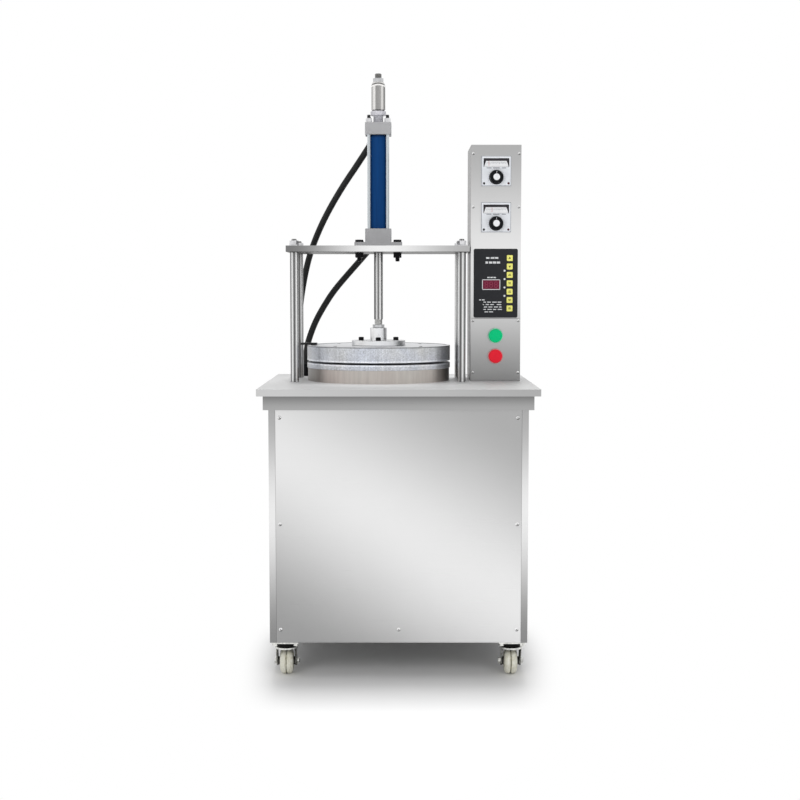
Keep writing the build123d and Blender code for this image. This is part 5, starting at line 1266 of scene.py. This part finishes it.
    def knob(self, body, level, flutes):
        """A fluted grip with a bright cap in its face."""
        back, front = BEZEL_FRONT - KNOB_GAP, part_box(body)[0].y
        skirt_tall = KNOB_SKIRT[-1][1]
        centre = Vector((TOWER_X, back, level - KNOB_DROP))
        bm = bmesh.new()
        lathe(bm, KNOB_SKIRT, centre, steps=64)
        ring = bmesh.ops.create_circle(bm, cap_ends=True, segments=flutes * 2, radius=KNOB_RADIUS)["verts"]
        for i, vert in enumerate(ring):
            vert.co *= 1.0 if i % 2 else FLUTE_SHARE
        grip = bmesh.ops.extrude_face_region(bm, geom=[ring[0].link_faces[0]])["geom"]
        tops = [item for item in grip if isinstance(item, bmesh.types.BMVert)]
        bmesh.ops.translate(bm, verts=tops, vec=(0, 0, back - front - skirt_tall))
        bmesh.ops.scale(bm, verts=tops, vec=(KNOB_TAPER, KNOB_TAPER, 1.0))
        cap = next(face for face in tops[0].link_faces if all(vert in tops for vert in face.verts))
        bmesh.ops.inset_individual(bm, faces=[cap], thickness=FACE_RIM, depth=0.0)
        bmesh.ops.translate(bm, verts=list(cap.verts), vec=(0, 0, FACE_RISE))
        bmesh.ops.inset_individual(bm, faces=[cap], thickness=FACE_DISH, depth=-DISH_SUNK)
        shape = [vert for vert in bm.verts if vert.co.length < 3 * KNOB_RADIUS]
        stand = Matrix.Rotation(math.radians(90), 4, "X")
        spot = Matrix.Translation(centre + Vector((0, -GRIP_BACK, 0)))
        bmesh.ops.transform(bm, matrix=spot @ stand, verts=shape)
        lathe(bm, KNOB_COVER, Vector((centre.x, front + COVER_SUNK, centre.z)), steps=40, material=1)
        mark = Vector((centre.x, front - MARK_PROUD, centre.z + MARK_REACH))
        block(bm, mark, MARK, material=1)
        lathe(bm, KNOB_SHAFT, centre, steps=24)
        thing = piece(body + "_grip", bm, body, "knob_grip", "knob_cap", slot="knob_black", smooth=40)
        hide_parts(body)

    def keypad_part(self, centre, normal):
        """Film, display window, lamp, or what lies behind the film."""
        x, z = centre.x - TOWER_X, centre.z - KEYPAD_LEVEL
        sunk = centre.y - KEYPAD_FRONT
        inside = abs(x - DISPLAY_X) < DISPLAY_HALF_WIDE and abs(z - DISPLAY_Z) < DISPLAY_HALF_TALL
        if inside and sunk < DISPLAY_SUNK:
            return 1
        lamps = [(1.5 - row) * LAMP_STEP for row in range(4)]
        if sunk < -HAIR and any(math.hypot(x - LAMP_X, z - level) < LAMP_RADIUS for level in lamps):
            return 2
        return 3 if sunk > FILM_BACK else 0

    def keypad(self):
        """Plain bars on the film, and the display's frame and segments."""
        bm = bmesh.new()

        def bar(x, z, width, height, material=0, proud=FRAME_PROUD):
            spot = (TOWER_X + x, KEYPAD_FRONT - proud, KEYPAD_LEVEL + z)
            block(bm, spot, (width, PRINT_DEPTH, height), material=material)

        for z, height, runs in FILM_BARS:
            for start, width in runs:
                bar(start + width / 2, z, width, height, proud=PRINT_PROUD)
        wide, tall = DISPLAY_FRAME
        for side in (-1, 1):
            bar(DISPLAY_X, DISPLAY_Z + side * tall / 2, wide + FRAME_LINE, FRAME_LINE, 1)
            bar(DISPLAY_X + side * wide / 2, DISPLAY_Z, FRAME_LINE, FRAME_POST, 1)
        for digit in (-1, 0, 1):
            x = DISPLAY_X + digit * DIGIT_STEP
            for step in (-1, 0, 1):
                bar(x, DISPLAY_Z + step * DIGIT_TALL / 2, DIGIT_WIDE - SEGMENT, SEGMENT, 2)
            for side, step in CORNERS:
                across, along = side * DIGIT_WIDE / 2, step * DIGIT_TALL / 4
                bar(x + across, DISPLAY_Z + along, SEGMENT, DIGIT_TALL / 2 - SEGMENT_GAP, 2)
        piece("keypad_print", bm, "machine", "film_print", "collar_chrome", "display_segments", slot="keypad")

    def key(self, number):
        """A key with an arrow or two short bars on it."""
        key = f"key_{number}"
        dress(key, "key_cap")
        low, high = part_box(key)
        middle = (low + high) / 2
        bm = bmesh.new()
        if number <= ARROW_KEYS:
            bmesh.ops.create_circle(bm, cap_ends=True, segments=3, radius=ARROW_RADIUS)
            bmesh.ops.solidify(bm, geom=list(bm.faces), thickness=PRINT_DEPTH)
            upward = Matrix.Rotation(math.radians(0 if number == 1 else 180), 4, "Y")
            stand = Matrix.Rotation(math.radians(90), 4, "X")
            spot = Matrix.Translation((middle.x, low.y - PRINT_PROUD, middle.z))
            bmesh.ops.transform(bm, matrix=spot @ upward @ stand, verts=bm.verts)
        else:
            for row, side in enumerate((1, -1)):
                spot = (middle.x, low.y, middle.z + side * KEY_BAR_RISE)
                block(bm, spot, (KEY_BARS[(number + row) % 2], PRINT_DEPTH, KEY_BAR_TALL))
        look = "key_arrow_print" if number <= ARROW_KEYS else "key_print"
        piece(key + "_print", bm, key, look, slot="key_yellow")


class PRESS_OT_casters(bpy.types.Operator):
    """Finish the casters"""

    bl_idname = "press.casters"
    bl_label = "Casters"

    def execute(self, context):
        plate_low = top("caster_plates") - 0.0062

        def plate_part(centre, normal):
            aside = math.hypot(abs(centre.x) - CASTER_X, abs(centre.y) - CASTER_Y)
            return 1 if aside < RACE_RADIUS and centre.z < plate_low else 0

        dress("caster_plates", "pressed_zinc", "swivel_race", pick=plate_part)
        for corner in ("front_left", "front_right", "rear_left", "rear_right"):
            fork = "caster_fork_" + corner
            low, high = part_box(fork)
            middle = (low.x + high.x) / 2
            crown_low = high.z - CROWN_TALL

            def fork_part(centre, normal):
                aside = abs(centre.x - middle)
                if centre.z > crown_low:
                    return 0
                # Painted shade: black under the crown and on the legs' inner faces, and a darker copy of the
                # zinc on the legs.
                under_crown = normal.z < -0.5 and centre.z > crown_low - CROWN_SHADE
                if under_crown or abs(aside - LEG_INNER) < LEG_BAND:
                    return 2
                return 1 if aside < LEG_OUTER - SAME_LEVEL else 0

            dress(fork, "pressed_zinc", "leg_zinc", "oiled_gap", pick=fork_part)
            dress("caster_wheel_" + corner, "cast_nylon")
        return {"FINISHED"}


class PRESS_OT_power_pack(bpy.types.Operator):
    """Finish the tank, the motor and the valve inside the cabinet"""

    bl_idname = "press.power_pack"
    bl_label = "Power pack"

    def execute(self, context):
        dress_each(
            oil_tank="tank_paint", pump_motor="motor_paint", motor_fan="zinc_plate", valve_block="zinc_plate"
        )
        return {"FINISHED"}


class PRESS_OT_studio(bpy.types.Operator):
    """Set up the floor, the room light, the lamps and the camera"""

    bl_idname = "press.studio"
    bl_label = "Studio"

    def execute(self, context):
        studio = context.scene.press_studio
        context.scene.view_settings.view_transform = "Standard"
        self.floor()
        self.room(studio.room_light)
        self.overhead(studio.sky_strength)
        self.lamp("long_lamp", (0.0, 5.4, 30.0), (0.0, 0.0, 0.0), (5.0, 9.8), studio.key_power)
        for name, x, share in (("fill_lamp_1", -1.7, 0.58), ("fill_lamp_3", 1.7, 0.42)):
            self.lamp(name, (x, -3.6, 2.1), (0.0, 0.0, 0.6), (2.2, 2.2), studio.fill_power * share)
        camera = bpy.data.cameras.new("photo_camera")
        camera.lens = studio.camera_lens
        camera.sensor_width = 36.0
        eye = self.put("photo_camera", camera)
        eye.location = studio.camera_place
        eye.rotation_euler = (math.radians(90) - studio.camera_pitch, 0.0, 0.0)
        context.scene.camera = eye
        return {"FINISHED"}

    def put(self, name, data):
        """A new object in the scene."""
        thing = bpy.data.objects.new(name, data)
        bpy.context.scene.collection.objects.link(thing)
        return thing

    def overhead(self, strength):
        """A broad light from above, whose soft shadow lies under the cabinet."""
        light = bpy.data.lights.new("overhead_light", "SUN")
        light.energy = strength
        light.angle = math.radians(80)
        sky = self.put("overhead_light", light)
        sky.rotation_euler = (math.radians(-3), 0.0, 0.0)
        sky.visible_glossy = False

    def lamp(self, name, spot, aim, size, power):
        """A rectangular lamp that metal doesn't mirror."""
        light = bpy.data.lights.new(name, "AREA")
        light.shape = "RECTANGLE"
        light.size, light.size_y = size
        light.energy = power
        lamp = self.put(name, light)
        lamp.location = spot
        lamp.rotation_euler = (Vector(aim) - Vector(spot)).to_track_quat("-Z", "Y").to_euler()
        lamp.visible_glossy = False

    def floor(self):
        """A pale floor that keeps the shadow near the cabinet and is plain white further out."""
        bm = bmesh.new()
        bmesh.ops.create_grid(bm, x_segments=1, y_segments=1, size=60.0)
        mesh = bpy.data.meshes.new("studio_floor")
        bm.to_mesh(mesh)
        bm.free()
        finish = Finish("pale_floor", (0.93, 0.93, 0.93, 1.0), 0.0, 0.9, 0.0)
        path = finish.node("LightPath").outputs
        seen = finish.math("ADD", path["Is Camera Ray"], path["Is Glossy Ray"])
        seen = finish.math("ADD", seen, path["Is Transmission Ray"])
        oval = finish.vector("MULTIPLY", finish.place(), (2.0, 0.75, 1.0))
        far = finish.mapped(finish.vector("LENGTH", oval, out="Value"), 0.52, 0.80, 0.0, 1.0, True)
        white = finish.node("Emission").outputs[0]
        mix = finish.node("MixShader", {0: finish.times(seen, far), 1: finish.shader.outputs[0], 2: white})
        finish.feed(finish.tree.nodes["Material Output"].inputs["Surface"], mix.outputs[0])
        mesh.materials.append(finish.material)
        self.put("studio_floor", mesh)

    def room(self, strength):
        """White where it is seen, with soft dim bays for the metal to mirror, and gentler as light."""
        world = bpy.data.worlds.new("studio_room")
        bpy.context.scene.world = world
        world.use_nodes = True
        nodes = Nodes(world.node_tree)
        way = nodes.split(nodes.node("TexCoord").outputs["Generated"])
        turn = nodes.math("ARCTAN2", way["X"], way["Y"])
        wave = nodes.math("COSINE", nodes.times(turn, 4.0))
        bays = nodes.mapped(wave, -0.95, 0.1, 0.95, 1.0, True)
        rise = nodes.mapped(way["Z"], 0.1, 0.8, 0.0, 1.0, True)
        bays = nodes.mapped(rise, 0.0, 1.0, bays, 0.94)
        path = nodes.node("LightPath").outputs
        mirrored = nodes.mapped(path["Is Glossy Ray"], 0.0, 1.0, strength, bays)
        clear = nodes.math("ADD", path["Is Camera Ray"], path["Is Transmission Ray"])
        back = world.node_tree.nodes["Background"].inputs
        nodes.feed(back["Strength"], nodes.mapped(clear, 0.0, 1.0, mirrored, 1.0))
        nodes.feed(back["Color"], WHITE)


class PRESS_PT_looks(bpy.types.Panel):
    """Lists the steps that give the press its looks"""

    bl_label = "Platen press"
    bl_space_type = "VIEW_3D"
    bl_region_type = "UI"
    bl_category = "Press"

    def draw(self, context):
        for step in STEPS:
            self.layout.operator(step.bl_idname)
        for settings in SETTINGS:
            group = getattr(context.scene, settings)
            for name in group.__annotations__:
                self.layout.prop(group, name)


SETTINGS = {
    "press_finish": PressFinish,
    "press_hoses": PressHoses,
    "press_controls": PressControls,
    "press_studio": PressStudio,
}
STEPS = (
    PRESS_OT_studio,
    PRESS_OT_hoses,
    PRESS_OT_cabinet,
    PRESS_OT_columns,
    PRESS_OT_cylinder,
    PRESS_OT_ram,
    PRESS_OT_tower,
    PRESS_OT_casters,
    PRESS_OT_power_pack,
)


def register():
    for name, settings in SETTINGS.items():
        bpy.utils.register_class(settings)
        setattr(bpy.types.Scene, name, PointerProperty(type=settings))
    for step in STEPS:
        bpy.utils.register_class(step)
    bpy.utils.register_class(PRESS_PT_looks)


def unregister():
    bpy.utils.unregister_class(PRESS_PT_looks)
    for step in reversed(STEPS):
        bpy.utils.unregister_class(step)
    for name, settings in reversed(SETTINGS.items()):
        delattr(bpy.types.Scene, name)
        bpy.utils.unregister_class(settings)


def main():
    register()
    for step in STEPS:
        area, name = step.bl_idname.split(".")
        getattr(getattr(bpy.ops, area), name)()


if __name__ == "__main__":
    main()
